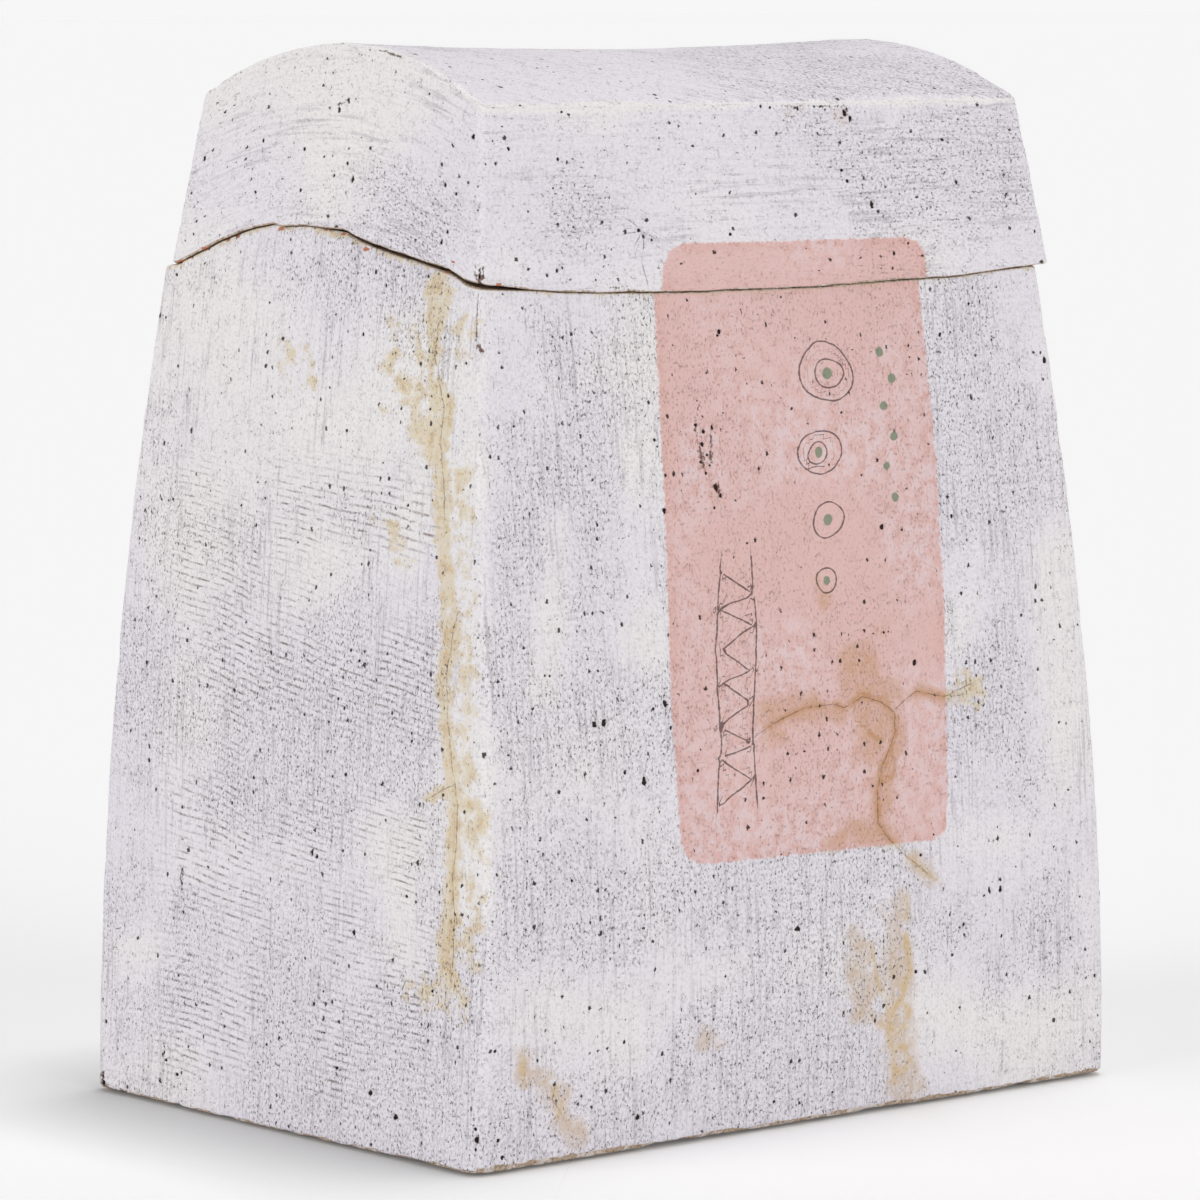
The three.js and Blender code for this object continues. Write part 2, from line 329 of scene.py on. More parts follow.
class WallLayout:
    """Places a side slab's shares on the jar or the lid."""

    edge_round = 0.22
    corner_round = 1.3
    foot_bevel = 2.4
    foot_step = 0.8
    undercut = (0.8, 2.2)

    def __init__(self, form, shell, side, cells):
        self.form, self.shell, self.side = form, shell, side
        self.out = np.array(SIDES[side]["out"], float)
        self.along = np.array(SIDES[side]["along"], float)
        self.out_axis = int(abs(self.out[1]))
        self.along_axis = 1 - self.out_axis
        self.straight_share = 1 - 2 * CORNER_CELLS / cells[0]

    def place(self, shares):
        """Millimetre points, ways out, places along the side, gaps to the lower and top edge."""
        u, v, w = shares.T
        inner = w > 0.5
        at = 2 * u - 1
        straight = np.minimum(np.abs(at) / self.straight_share, 1)
        angle = np.maximum(np.abs(at) - self.straight_share, 0) / (1 - self.straight_share) * EIGHTH_TURN
        column = (np.sign(at), straight, angle, inner)
        low = np.zeros_like(u) if self.shell == "jar" else self.meet(column, self.lower_edge)
        high = self.meet(column, self.upper_edge, LID_EDGE * HALF_CUT if self.shell == "lid" else 0.0)
        z = low + (high - low) * closer_ends(v)
        inset, tilt = self.worn(z, low, high, angle / EIGHTH_TURN)
        inset = np.where(inner, 0, inset)
        points = self.at(column, z, inset)
        flat = np.cos(tilt)
        direction = np.zeros_like(points)
        direction[:, :2] = (np.outer(np.cos(angle) * flat, self.out)
                            + np.outer(np.sin(angle) * np.sign(at) * flat, self.along))
        direction[:, 2] = np.sin(tilt)
        place = points[:, :2] @ self.along
        return points, direction, place, z - low, high - z

    def at(self, column, z, inset):
        sign, straight, angle, inner = column
        form = self.form
        wall = form.wall[self.shell]
        out = form.reach(self.shell, self.out_axis, z)
        half = form.reach(self.shell, self.along_axis, z)
        radius = form.corner(self.shell, z)
        outer_along = straight * (half - inset - radius) + radius * np.sin(angle)
        outer_out = out - inset - radius * (1 - np.cos(angle))
        inner_along = outer_along * (half - wall) / (half - inset - radius * (1 - math.cos(EIGHTH_TURN)))
        along = sign * np.where(inner, inner_along, outer_along)
        away = np.where(inner, out - wall, outer_out)
        points = np.zeros((len(z), 3))
        points[:, :2] = np.outer(along, self.along) + np.outer(away, self.out) + form.slide[self.shell]
        points[:, 2] = z
        return points

    def meet(self, column, height, inset=0.0):
        z = np.full(len(column[0]), self.form.rim_height)
        for _ in range(6):
            points = self.at(column, z, np.where(column[3], 0, inset))
            z = height(points[:, 0], points[:, 1], column[3])
        return z

    def lower_edge(self, x, y, inner):
        return self.form.seam(x, y) + opening(x, y)

    def upper_edge(self, x, y, inner):
        if self.shell == "jar":
            return self.form.seam(x, y)
        drop = np.where(inner, self.form.lid_top, LID_EDGE * HALF_CUT)
        return np.where(inner, self.form.crown(x, y, self.form.lid_top), self.form.crown(x, y) - drop)

    def worn(self, z, low, high, turned):
        """How far the worn edges step in, and how the skin tilts there: up at the top, down at the foot."""
        if self.shell == "jar":
            bevel = self.foot_step * np.clip(1 - z / self.foot_bevel, 0, 1) ** 1.2
            bevel = bevel + self.undercut[1] * np.clip(1 - z / self.undercut[0], 0, 1) ** 2
            lip = rounded(high - z, self.edge_round)
            return bevel + lip, -EIGHTH_TURN * smooth(-z, -self.foot_bevel, 0)
        lip = rounded(z - low, self.edge_round + self.corner_round * turned)
        crown_edge = high + LID_EDGE * HALF_CUT
        share = np.clip((z - crown_edge + LID_EDGE) / LID_EDGE, 0, 1)
        tilt = np.arcsin(np.clip(share, 0, math.sin(EIGHTH_TURN)))
        edge = LID_EDGE * (1 - np.cos(tilt))
        return lip + edge, tilt


class TopLayout:
    """Places the top slab's shares over the lid's plan."""

    shell, side = "lid", "top"

    def __init__(self, form, cells):
        self.form = form
        self.straight_share = [1 - 2 * CORNER_CELLS / count for count in cells]

    def column(self, share, axis):
        at = 2 * share - 1
        limit = self.straight_share[axis]
        turn = np.maximum(np.abs(at) - limit, 0) / (1 - limit)
        return np.sign(at), np.minimum(np.abs(at) / limit, 1), turn

    def place(self, shares):
        """The same as for a wall, with places along X and gaps to the top's edge."""
        u, v, w = shares.T
        inner = w > 0.5
        sign_x, straight_x, turn_x = self.column(closer_ends(u, 0.3), 0)
        sign_y, straight_y, turn_y = self.column(closer_ends(v, 0.3), 1)
        distance = np.maximum(turn_x, turn_y)
        least = np.minimum(turn_x, turn_y) / np.maximum(distance, 1e-9) * EIGHTH_TURN
        angle = np.where(turn_x >= turn_y, least, math.pi / 2 - least)
        in_corner = (turn_x > 0) & (turn_y > 0)
        step_x = np.where(in_corner, distance * np.cos(angle), turn_x)
        step_y = np.where(in_corner, distance * np.sin(angle), turn_y)
        form = self.form
        wall = form.wall["lid"]
        slide = form.slide["lid"]
        level = np.full(len(u), form.rim_height + form.lid_height)
        for _ in range(6):
            inset = np.where(inner, wall, LID_EDGE * HALF_CUT)
            half_x = form.reach("lid", 0, level) - inset
            half_y = form.reach("lid", 1, level) - inset
            x = sign_x * (straight_x * (half_x - RIM_CORNER) + RIM_CORNER * step_x)
            y = sign_y * (straight_y * (half_y - RIM_CORNER) + RIM_CORNER * step_y)
            beyond_x = np.abs(x) - half_x - inset + RIM_CORNER
            beyond_y = np.abs(y) - half_y - inset + RIM_CORNER
            depth = (RIM_CORNER - np.hypot(np.maximum(beyond_x, 0), np.maximum(beyond_y, 0))
                     - np.minimum(np.maximum(beyond_x, beyond_y), 0))
            drop = np.where(inner, form.lid_top, rounded(depth, LID_EDGE))
            level = np.where(inner, form.crown(x + slide[0], y + slide[1], form.lid_top),
                             form.crown(x + slide[0], y + slide[1]) - drop)
        points = np.stack([x + slide[0], y + slide[1], level], axis=1)
        tilt = np.arccos(np.clip(1 - drop / LID_EDGE, 0, 1)) * (depth < LID_EDGE)
        side_x = np.where(beyond_x > beyond_y, np.sign(x), 0)
        side_x = np.where(in_corner, sign_x * step_x, side_x)
        side_y = np.where(beyond_x > beyond_y, 0, np.sign(y))
        side_y = np.where(in_corner, sign_y * step_y, side_y)
        direction = np.stack([side_x * np.sin(tilt), side_y * np.sin(tilt), np.cos(tilt)], axis=1)
        return points, direction, points[:, 0], depth, depth


# Marks seen in the photograph, in its 1200-pixel frame

def view_axes():
    """Directions of the view: back to the camera, to its right, and up."""
    azimuth, elevation = math.radians(VIEW_AZIMUTH), math.radians(VIEW_ELEVATION)
    level = math.cos(elevation)
    back = np.array([math.sin(azimuth) * level, -math.cos(azimuth) * level, math.sin(elevation)])
    right = np.array([math.cos(azimuth), math.sin(azimuth), 0])
    return back, right, np.cross(back, right)


def photo_pixel(points):
    """Where millimetre points lie in the photograph's frame."""
    back, right, up = view_axes()
    offset = points * MM - (np.array(TARGET) + back * VIEW_DISTANCE)
    depth = -offset @ back
    focal = VIEW_LENS / SENSOR_WIDTH * PHOTO_PIXELS
    return (TARGET_PIXEL[0] + focal * (offset @ right) / depth,
            TARGET_PIXEL[1] - focal * (offset @ up) / depth)


# Pixels that stand for no mark near, among all lines and in what a finish reads
NOWHERE = 1000.0
FAR = 60.0
# A pit is carved only on the slab that has a point this many pixels from it
PIT_MATCH = 6

# Pits: pixel x, pixel y, radius in millimetres
PITS = {
    "jar_left": (
        (361, 334, 0.8), (385, 286, 0.8), (403, 270, 0.6), (268, 303, 0.6), (265, 334, 0.6),
        (395, 352, 0.5), (466, 363, 0.6), (381, 463, 0.5), (405, 506, 0.8), (240, 506, 0.7),
        (254, 524, 0.7), (264, 499, 0.5), (177, 365, 0.6), (180, 445, 0.6), (357, 660, 0.8),
        (343, 776, 1.0), (309, 853, 1.3), (315, 855, 0.9), (352, 933, 1.0), (312, 1005, 1.0),
        (369, 1093, 1.3), (394, 1117, 1.6), (346, 707, 0.6), (343, 708, 0.5), (180, 868, 0.5),
        (180, 875, 0.6), (180, 883, 0.7), (180, 889, 0.6), (181, 912, 0.8), (163, 1047, 0.5),
        (163, 1053, 0.7), (164, 1060, 0.8), (175, 1075, 1.1), (104, 1022, 1.1), (475, 1130, 0.7),
        (478, 1140, 1.1), (476, 1151, 0.6), (430, 991, 0.9), (238, 1120, 0.9), (100, 1076, 1.5),
        (102, 1083, 1.2), (410, 740, 0.8), (411, 733, 0.5), (384, 822, 0.6), (405, 895, 0.9),
        (414, 901, 0.8), (437, 893, 0.8), (302, 656, 0.6), (375, 680, 0.7), (336, 700, 0.7),
        (327, 723, 0.8), (336, 1068, 1.0), (334, 1074, 0.8), (265, 1045, 0.7), (330, 1003, 0.7),
        (283, 1023, 0.6), (322, 1033, 0.6), (281, 1047, 0.6), (219, 1013, 0.6)),
    "jar_front": (
        (720, 332, 1.0), (719, 336, 0.7), (699, 402, 0.6), (697, 424, 0.9), (705, 431, 0.9),
        (712, 428, 0.7), (703, 445, 0.8), (708, 455, 0.7), (702, 462, 0.8), (710, 466, 0.6),
        (706, 474, 0.7), (717, 487, 1.1), (721, 495, 0.9), (715, 509, 0.7), (656, 440, 0.8),
        (659, 445, 0.5), (666, 511, 1.0), (884, 529, 1.1), (909, 347, 0.7), (910, 357, 0.5),
        (842, 414, 0.7), (829, 464, 0.6), (941, 334, 1.0), (1046, 359, 1.1), (952, 516, 0.9),
        (992, 340, 0.6), (970, 303, 0.7), (597, 723, 1.5), (606, 722, 1.4), (646, 782, 1.3),
        (667, 706, 1.2), (655, 707, 0.8), (699, 769, 0.9), (800, 931, 1.6), (797, 928, 0.8),
        (990, 889, 1.0), (1001, 889, 1.0), (966, 925, 0.9), (918, 972, 0.9), (726, 976, 0.8),
        (1099, 1015, 0.7), (1095, 975, 0.7), (639, 1116, 1.1), (978, 676, 0.7), (921, 855, 0.7),
        (885, 632, 0.9), (889, 634, 0.6), (915, 664, 1.0), (627, 774, 0.8), (673, 729, 0.7),
        (574, 880, 0.7), (776, 1102, 0.8), (833, 1093, 0.7), (1003, 936, 0.8), (965, 934, 0.6),
        (625, 1042, 0.7), (579, 1104, 0.7), (1055, 640, 0.6), (497, 1053, 0.9), (500, 1141, 0.8),
        (505, 1158, 0.9), (540, 1060, 0.6), (573, 688, 0.5), (552, 676, 0.7), (545, 674, 0.7),
        (529, 860, 0.6)),
    "lid_left": (
        (472, 137, 1.1), (333, 177, 0.8), (255, 192, 0.9), (337, 107, 0.8), (346, 101, 0.9),
        (204, 158, 0.8), (455, 193, 0.8), (193, 234, 0.7), (478, 277, 1.1), (449, 79, 0.6),
        (262, 140, 0.7), (238, 67, 0.9), (234, 73, 0.7), (428, 93, 0.5), (303, 148, 0.9), (348, 148, 0.7),
        (345, 164, 0.9), (351, 178, 1.0), (300, 190, 0.7), (371, 60, 0.7), (385, 46, 0.7), (368, 50, 0.6),
        (325, 58, 0.5), (443, 186, 0.7), (440, 242, 0.9), (445, 232, 0.8), (476, 211, 0.7),
        (477, 186, 0.6)),
    "lid_front": (
        (510, 148, 0.9), (487, 165, 0.7), (843, 169, 1.0), (848, 182, 0.9), (874, 206, 1.1),
        (958, 183, 0.8), (761, 107, 0.7), (816, 106, 0.7), (822, 106, 0.6), (770, 108, 0.6),
        (846, 113, 1.2), (850, 118, 1.1), (799, 108, 0.7), (730, 233, 0.8), (684, 165, 0.5),
        (910, 243, 0.7), (896, 254, 0.8), (558, 271, 0.7), (548, 276, 0.7), (563, 112, 0.6),
        (495, 104, 0.6), (560, 158, 0.8), (530, 213, 0.6), (568, 161, 0.6), (1035, 232, 0.6),
        (575, 228, 0.6), (612, 250, 0.6), (640, 230, 0.9), (645, 236, 0.9), (652, 240, 0.6)),
    "lid_top": (
        (748, 81, 0.7), (573, 70, 0.8), (643, 81, 0.7), (500, 46, 0.5), (523, 55, 0.5), (585, 89, 0.7),
        (498, 62, 0.5), (860, 66, 0.6), (560, 48, 0.5)),
}

# Runs, stains, gouges and washes: pixel x, pixel y, half width in pixels
OCHRE_RUN = (
    (440, 272, 5), (439, 290, 15), (437, 312, 13), (433, 341, 6), (431, 377, 7), (441, 404, 12),
    (434, 445, 15), (441, 480, 8), (443, 538, 8), (448, 590, 7), (451, 640, 11), (441, 674, 6),
    (446, 727, 5), (451, 765, 6), (454, 806, 7), (452, 870, 6), (449, 924, 7), (444, 960, 10),
    (450, 985, 5))
OCHRE_PATCHES = (
    ((452, 806, 6), (476, 806, 9), (482, 825, 6)), ((453, 788, 4), (431, 797, 5)),
    ((398, 378, 5), (404, 390, 6)), ((455, 330, 5), (466, 316, 4)), ((420, 355, 6),), ((975, 688, 8),))
PALE_OCHRE = (
    ((470, 812, 17), (470, 960, 15)), ((392, 366, 13), (402, 394, 15)), ((381, 406, 9),),
    ((392, 324, 8),), ((420, 330, 14), (424, 440, 14)), ((464, 330, 12), (458, 350, 10)),
    ((422, 990, 20), (452, 1000, 16)), ((385, 520, 9), (400, 560, 7)),
    ((292, 350, 5), (283, 368, 6), (292, 388, 5), (308, 384, 5), (310, 358, 5)),
    ((963, 672, 12), (976, 692, 18)), ((462, 470, 7), (467, 900, 10)), ((120, 320, 6), (122, 350, 5)))
RUST_PATCHES = (
    ((770, 714, 15), (805, 706, 13), (835, 712, 9)), ((778, 734, 9),),
    ((856, 655, 13), (872, 690, 22), (880, 722, 22), (872, 752, 14)),
    ((903, 694, 7), (930, 692, 6), (953, 696, 4)),
    ((896, 738, 10), (889, 763, 14), (880, 790, 11), (878, 815, 9)),
    ((838, 838, 8), (860, 828, 12), (882, 830, 10)), ((884, 836, 7), (893, 842, 5)),
    ((918, 862, 7), (932, 878, 5)), ((524, 1060, 7), (525, 1080, 6)),
    ((548, 1080, 10), (558, 1100, 10), (562, 1120, 10)), ((578, 1136, 10),),
    ((862, 935, 8), (862, 1010, 12)), ((898, 905, 9), (902, 960, 16), (896, 1020, 15), (908, 1085, 16)),
    ((846, 116, 6),), ((799, 108, 4),), ((709, 1042, 7),), ((885, 632, 4),),
    ((818, 580, 5), (826, 600, 6)))
GOUGES = (
    ((478, 262, 0), (479, 272, 1.5), (478, 284, 3.5)), ((472, 252, -0.5), (475, 280, 1)),
    ((485, 254, -0.5), (483, 278, 1)), ((477, 346, 1.5), (482, 350, 2)),
    ((476, 298, -0.9), (476, 340, -0.7)), ((717, 487, 3.5), (720, 495, 3)),
    ((700, 405, 0.3), (696, 430, 1), (702, 455, 1.8), (705, 470, 1)), ((711, 430, 0.8), (712, 462, 0.8)),
    ((101, 1072, 0.5), (100, 1084, 2), (112, 1091, 1.5), (124, 1094, 1)), ((846, 112, 2), (851, 119, 2)),
    ((180, 868, -0.3), (180, 891, 0.3)), ((478, 1137, 0.4), (477, 1144, 1)),
    ((275, 1139, 1), (283, 1141, 1)), ((495, 276, 1), (500, 282, 1)), ((338, 104, 0.8), (346, 100, 0.8)),
    ((364, 46, 0), (398, 56, 1)), ((346, 40, -0.5), (362, 44, 0.5)), ((450, 84, 0), (462, 96, 0)),
    ((208, 90, 0.5), (226, 76, 0)), ((560, 285, 0), (572, 279, 0.8)), ((604, 288, 0), (640, 286, 0)),
    ((752, 106, 0), (850, 106, 0.2)))
WASHES = (
    ((505, 340, 14), (515, 540, 16)), ((590, 430, 26), (600, 560, 30)), ((985, 320, 24), (1000, 760, 30)),
    ((310, 175, 60), (390, 190, 40)), ((430, 236, 22),), ((300, 150, 30),),
    ((880, 150, 60), (990, 150, 40)), ((600, 210, 40),), ((575, 900, 40), (580, 980, 40)),
    ((135, 640, 18), (125, 900, 18)), ((150, 660, 7), (150, 720, 6)), ((720, 870, 40), (800, 890, 40)),
    ((780, 1090, 60),), ((990, 930, 40),), ((390, 700, 50), (260, 760, 40)),
    ((340, 1090, 60), (440, 1120, 44)), ((230, 960, 40),), ((700, 445, 10), (704, 470, 10)),
    ((560, 330, 30),))
CREAMS = (
    ((466, 470, 14), (468, 900, 15)), ((630, 450, 18), (645, 640, 18)), ((430, 420, 12), (400, 560, 14)),
    ((560, 520, 12), (545, 690, 12)), ((320, 120, 60), (420, 120, 30)), ((600, 130, 50),),
    ((350, 430, 45),), ((215, 300, 50),), ((560, 1000, 30), (620, 1040, 30)),
    ((980, 560, 22), (960, 640, 22)), ((700, 200, 50),), ((960, 1010, 34), (1065, 1040, 30)),
    ((1000, 850, 30),), ((330, 560, 30),), ((390, 860, 26), (400, 960, 26)),
    ((1050, 560, 24), (1060, 780, 24)), ((150, 950, 20),))

# Marks that a finish reads as pixels inside them, and those that it reads as pixels from a line
MARKS_WITHIN = ("ochre", "rust", "gouge", "pink", "dots")
MARKS_ALONG = ("crack", "veined", "drawn")

# What the share of bare clay says on a slab's inner face, and millimetres of bare clay at the foot
INNER_FACE = 3
FOOT_CLAY = {"front": 2.6, "left": 1.6, "back": 2.0, "right": 2.0}

# Where the slip lies smooth, with few crumbs
SMOOTHS = (
    ((500, 310, 30), (510, 560, 28)), ((600, 310, 36), (560, 420, 22)),
    ((1030, 420, 26), (1060, 760, 30)), ((140, 420, 26), (112, 900, 24)), ((250, 330, 50),),
    ((230, 110, 60), (300, 100, 60)), ((700, 210, 60),))

# Veins of rust: lists of pixel points
VEINS = (
    ((897, 712), (897, 736), (889, 752), (883, 768), (879, 790), (880, 815)),
    ((846, 708), (862, 694), (883, 700)), ((889, 752), (896, 762), (893, 776), (884, 782)),
    ((893, 742), (876, 738), (866, 728)),
    ((874, 900), (872, 935), (881, 985), (889, 1018), (893, 1060), (897, 1084)),
    ((881, 985), (874, 1012), (884, 1040)),
    ((910, 896), (906, 930), (912, 972), (900, 1000), (889, 1018)),
    ((900, 1000), (911, 1010), (908, 1028), (896, 1034), (889, 1018)),
    ((893, 1050), (905, 1046), (910, 1062), (902, 1074), (894, 1066)),
    ((524, 1056), (527, 1084), (524, 1100)), ((556, 1085), (562, 1102), (556, 1120)))

# Fine cracks: lists of pixel points
CRACKS = (
    ((438, 318), (434, 359), (443, 406), (440, 445), (443, 480), (444, 520)),
    ((456, 612), (447, 670), (447, 716), (453, 777), (456, 806), (455, 841), (451, 877), (453, 913),
     (451, 963), (449, 981)),
    ((453, 785), (442, 790), (431, 797)),
    ((755, 738), (774, 724), (806, 708), (835, 704), (846, 708), (864, 697), (883, 702), (896, 713),
     (897, 731), (883, 766), (878, 791), (880, 824), (892, 841), (903, 852), (931, 875)),
    ((896, 709), (917, 691), (946, 697), (971, 684)), ((643, 231), (645, 245), (643, 262), (648, 284)),
    ((626, 234), (643, 231), (655, 238)), ((630, 220), (643, 231), (637, 243)),
    ((556, 1088), (553, 1100), (558, 1108)), ((477, 292), (476, 345)))

# The painted field's outline on the jar and on the lid, in pixels
PINK_FIELD = {
    "jar": (
        (654, 280), (660, 400), (665, 500), (672, 700), (682, 846), (690, 860), (705, 865), (935, 840),
        (946, 832), (949, 800), (945, 600), (936, 450), (919, 280)),
    "lid": (
        (663, 300), (664, 266), (671, 249), (685, 243), (780, 241), (905, 237), (918, 241), (925, 252),
        (930, 300)),
}

# Flakes of red clay along the seam: pixel x, pixel y, size in millimetres
FLAKES = (
    (202, 249, 1.6), (226, 240, 1.5), (235, 236, 1.5), (279, 229, 1.8), (324, 230, 1.2), (340, 234, 1.4),
    (364, 249, 1.6), (445, 271, 1.7), (501, 285, 1.8), (178, 262, 1.4), (190, 258, 1.0), (452, 262, 0.9))


def nearest_on(px, py, start, end):
    """The share along a stretch that lies nearest to each point, and the pixels to it."""
    dx, dy = end[0] - start[0], end[1] - start[1]
    share = np.clip(((px - start[0]) * dx + (py - start[1]) * dy) / (dx ** 2 + dy ** 2), 0, 1)
    return share, np.hypot(px - start[0] - share * dx, py - start[1] - share * dy)


def distance_to_run(px, py, run):
    """Pixels inside a run of round brush marks, more than 0 inside it."""
    if len(run) == 1:
        x, y, width = run[0]
        return width - np.hypot(px - x, py - y)
    best = np.full(len(px), -NOWHERE)
    for start, end in zip(run, run[1:]):
        share, gap = nearest_on(px, py, start, end)
        best = np.maximum(best, start[2] + share * (end[2] - start[2]) - gap)
    return best


def line_offset(px, py, line):
    """Signed pixels to the nearest stretch of a line."""
    best = np.full(len(px), NOWHERE)
    for start, end in zip(line, line[1:]):
        gap = nearest_on(px, py, start, end)[1]
        side = np.sign((px - start[0]) * (end[1] - start[1]) - (py - start[1]) * (end[0] - start[0]))
        best = np.where(gap < np.abs(best), gap * np.where(side == 0, 1, side), best)
    return best


def inside_outline(px, py, outline):
    """Signed pixels to a closed outline, more than 0 inside it."""
    closed = outline + outline[:1]
    gap = np.abs(line_offset(px, py, closed))
    inside = np.zeros(len(px), bool)
    for (x0, y0), (x1, y1) in zip(closed, closed[1:]):
        crosses = (y0 > py) != (y1 > py)
        inside ^= crosses & (px < (x1 - x0) * (py - y0) / (y1 - y0 + 1e-9) + x0)
    return np.where(inside, gap, -gap)


def nearest_points(points, usable, px, py, marks):
    """The outer points that lie nearest to marks in the photograph."""
    candidates = np.flatnonzero(usable)
    found = []
    for x, y, size in marks:
        gap = np.hypot(px[candidates] - x, py[candidates] - y)
        if gap.min() < PIT_MATCH:
            found.append((points[candidates[gap.argmin()]], size))
    return found


def scattered(points, usable, count, seed):
    """Seeded pits on a side that the photograph doesn't show."""
    draw = np.random.default_rng(seed)
    chosen = draw.choice(np.flatnonzero(usable), count, replace=False)
    sizes = 0.5 + 0.9 * draw.random(count) ** 2.5
    return list(zip(points[chosen], sizes))


# Relief: how far the skin stands off the slab's plain face, in millimetres

COMB_PITCH = 2.35
PIT_SCALE = 0.72
# How far round a pit, in millimetres, and round a crack, in pixels, the skin has finer cells
FINER_REACH = 0.5
CRACK_REACH = 1.6
HIDDEN_SIDE_PITS = 46
# Pits start no further than this from the middle of a face, in shares of its width and height
PIT_LIMIT = 0.497


def comb_phase(place, z, points):
    """Counts the grooves of a toothed rib drawn across an end."""
    tilt = 0.03 + 0.12 * smooth(z, 30, 150) - 0.1 * smooth(z, 170, 225)
    sway = 1.6 * uneven(points, 60, 31) + 0.7 * uneven(points, 19, 32) + 0.2 * uneven(points, 7, 30)
    return (z + tilt * place + sway) / COMB_PITCH


def combed_area(place, z, points):
    """Where the rib's grooves show through the slip."""
    area = smooth(place, -76, -52) * smooth(-place, -90, -62) * smooth(z, 6, 18) * smooth(-z, -226, -196)
    patches = smooth(layered(points, 30, 33), -0.45, 0.45)
    return area * (0.12 + 0.88 * patches)


def slab_relief(points, grooves):
    """Undulation, lumps, brush ridges and grooves."""
    swell = 0.28 * uneven(points, 70, 11) + 0.16 * layered(points, 22, 12, 2)
    lumps = 0.08 * uneven(points, 6, 14) + 0.07 * uneven(points, 2.6, 15)
    ridges = 0.05 * uneven(points * (1, 1, 0.06), 1.8, 16)
    return swell + lumps + ridges - 0.42 - 0.3 * grooves


def wear(points, edge_share):
    """How much the raised edges have lost."""
    knocks = np.maximum(layered(points, 9, 18, 2), 0)
    return edge_share * (0.12 + 0.7 * knocks ** 2)


def pit_carving(points, pits):
    """How deep the pits go at each point, and how far the point lies inside one, from 0 to 1."""
    depth = np.zeros(len(points))
    inside = np.zeros(len(points))
    ragged = 0.45 * uneven(points, 0.8, 21)
    for number, (centre, radius) in enumerate(pits):
        near = np.flatnonzero(np.abs(points - centre).max(axis=1) < radius * 2.4)
        stretch = 1 + 0.3 * math.sin(7.3 * number)
        offset = (points[near] - centre) * (1, 1, stretch)
        gap = np.linalg.norm(offset, axis=1) / (PIT_SCALE * radius) + ragged[near]
        bowl = smooth(-gap, -1.5, -0.5)
        depth[near] = np.maximum(depth[near], bowl * min(0.8 * radius, 1.0))
        inside[near] = np.maximum(inside[near], bowl)
    return depth, inside


def skin(name, layout, cells, body, nodes, seed):
    """Builds one slab with its relief and its marks."""
    bm = unit_slab(*cells)
    shares = shares_of(bm)
    points = layout.place(shares)[0]
    usable = (shares[:, 2] < 0.5) & (np.abs(shares[:, :2] - 0.5).max(axis=1) < PIT_LIMIT)
    px, py = photo_pixel(points)
    key = f"{layout.shell}_{layout.side}"
    shown = key in PITS
    if shown:
        pits = nearest_points(points, usable, px, py, PITS[key])
    else:
        pits = scattered(points, usable, HIDDEN_SIDE_PITS, seed)
    near = np.zeros(len(points), bool)
    for centre, radius in pits:
        near |= np.abs(points - centre).max(axis=1) < radius + FINER_REACH
    if shown:
        for line in CRACKS:
            near |= np.abs(line_offset(px, py, line)) < CRACK_REACH
    refine(bm, near & (shares[:, 2] < 0.5))
    shares = shares_of(bm)
    points, direction, place, above, below = layout.place(shares)
    marks = skin_marks(layout, shares, points, place, above, below, pits, shown)
    relief = marks.pop("relief")
    points = points + direction * relief[:, None] * (shares[:, 2] < 0.5)[:, None]
    for vert, point in zip(bm.verts, points * MM):
        vert.co = point
    bmesh.ops.recalc_face_normals(bm, faces=bm.faces)
    mesh = bpy.data.meshes.new(name)
    bm.to_mesh(mesh)
    bm.free()
    for key, values in marks.items():
        kind, field = ("FLOAT_VECTOR", "vector") if values.ndim == 2 else ("FLOAT", "value")
        attribute = mesh.attributes.new(key, kind, "POINT")
        attribute.data.foreach_set(field, values.astype(np.float32).ravel())
    return finish_piece(name, mesh, body, nodes, slip_material())


def runs(px, py, marks):
    """The most that any run of brush marks covers each point, in pixels inside it."""
    return np.max([distance_to_run(px, py, run) for run in marks], axis=0)


def nearest_line(px, py, lines):
    """Signed pixels to the nearest of several lines."""
    best = np.full(len(px), NOWHERE)
    for line in lines:
        offset = line_offset(px, py, line)
        best = np.where(np.abs(offset) < np.abs(best), offset, best)
    return best


def coverage(px, py, marks):
    """From below 0 outside to 1 in the middle of each soft-edged patch."""
    shares = [distance_to_run(px, py, run) / max(mark[2] for mark in run) for run in marks]
    return np.clip(np.max(shares, axis=0), -1.5, 1)


def bare_clay(layout, points, above, below):
    """Where clay shows without slip, from 0 to 1: along the seam and the foot."""
    if layout.side == "top":
        return np.zeros(len(points))
    from_seam = below if layout.shell == "jar" else above
    seam = 1 - smooth(from_seam, 0.25, 0.45 + 0.5 * np.maximum(layered(points, 7, 44, 2), 0))
    if layout.shell == "lid":
        return seam
    lip = FOOT_CLAY[layout.side] + 0.9 * layered(points, 8, 43)
    return np.maximum(seam, 1 - smooth(points[:, 2], lip - 0.2, lip + 0.2))


def edge_share(layout, shares, above, below):
    """1 on a slab's outer edges, and 0 from a few millimetres in."""
    if layout.side == "top":
        return 1 - smooth(below, 1, 4)
    corner = smooth(np.abs(2 * shares[:, 0] - 1), layout.straight_share - 0.03, 1)
    return np.maximum(corner, smooth(-np.minimum(below, above), -3, -0.5))


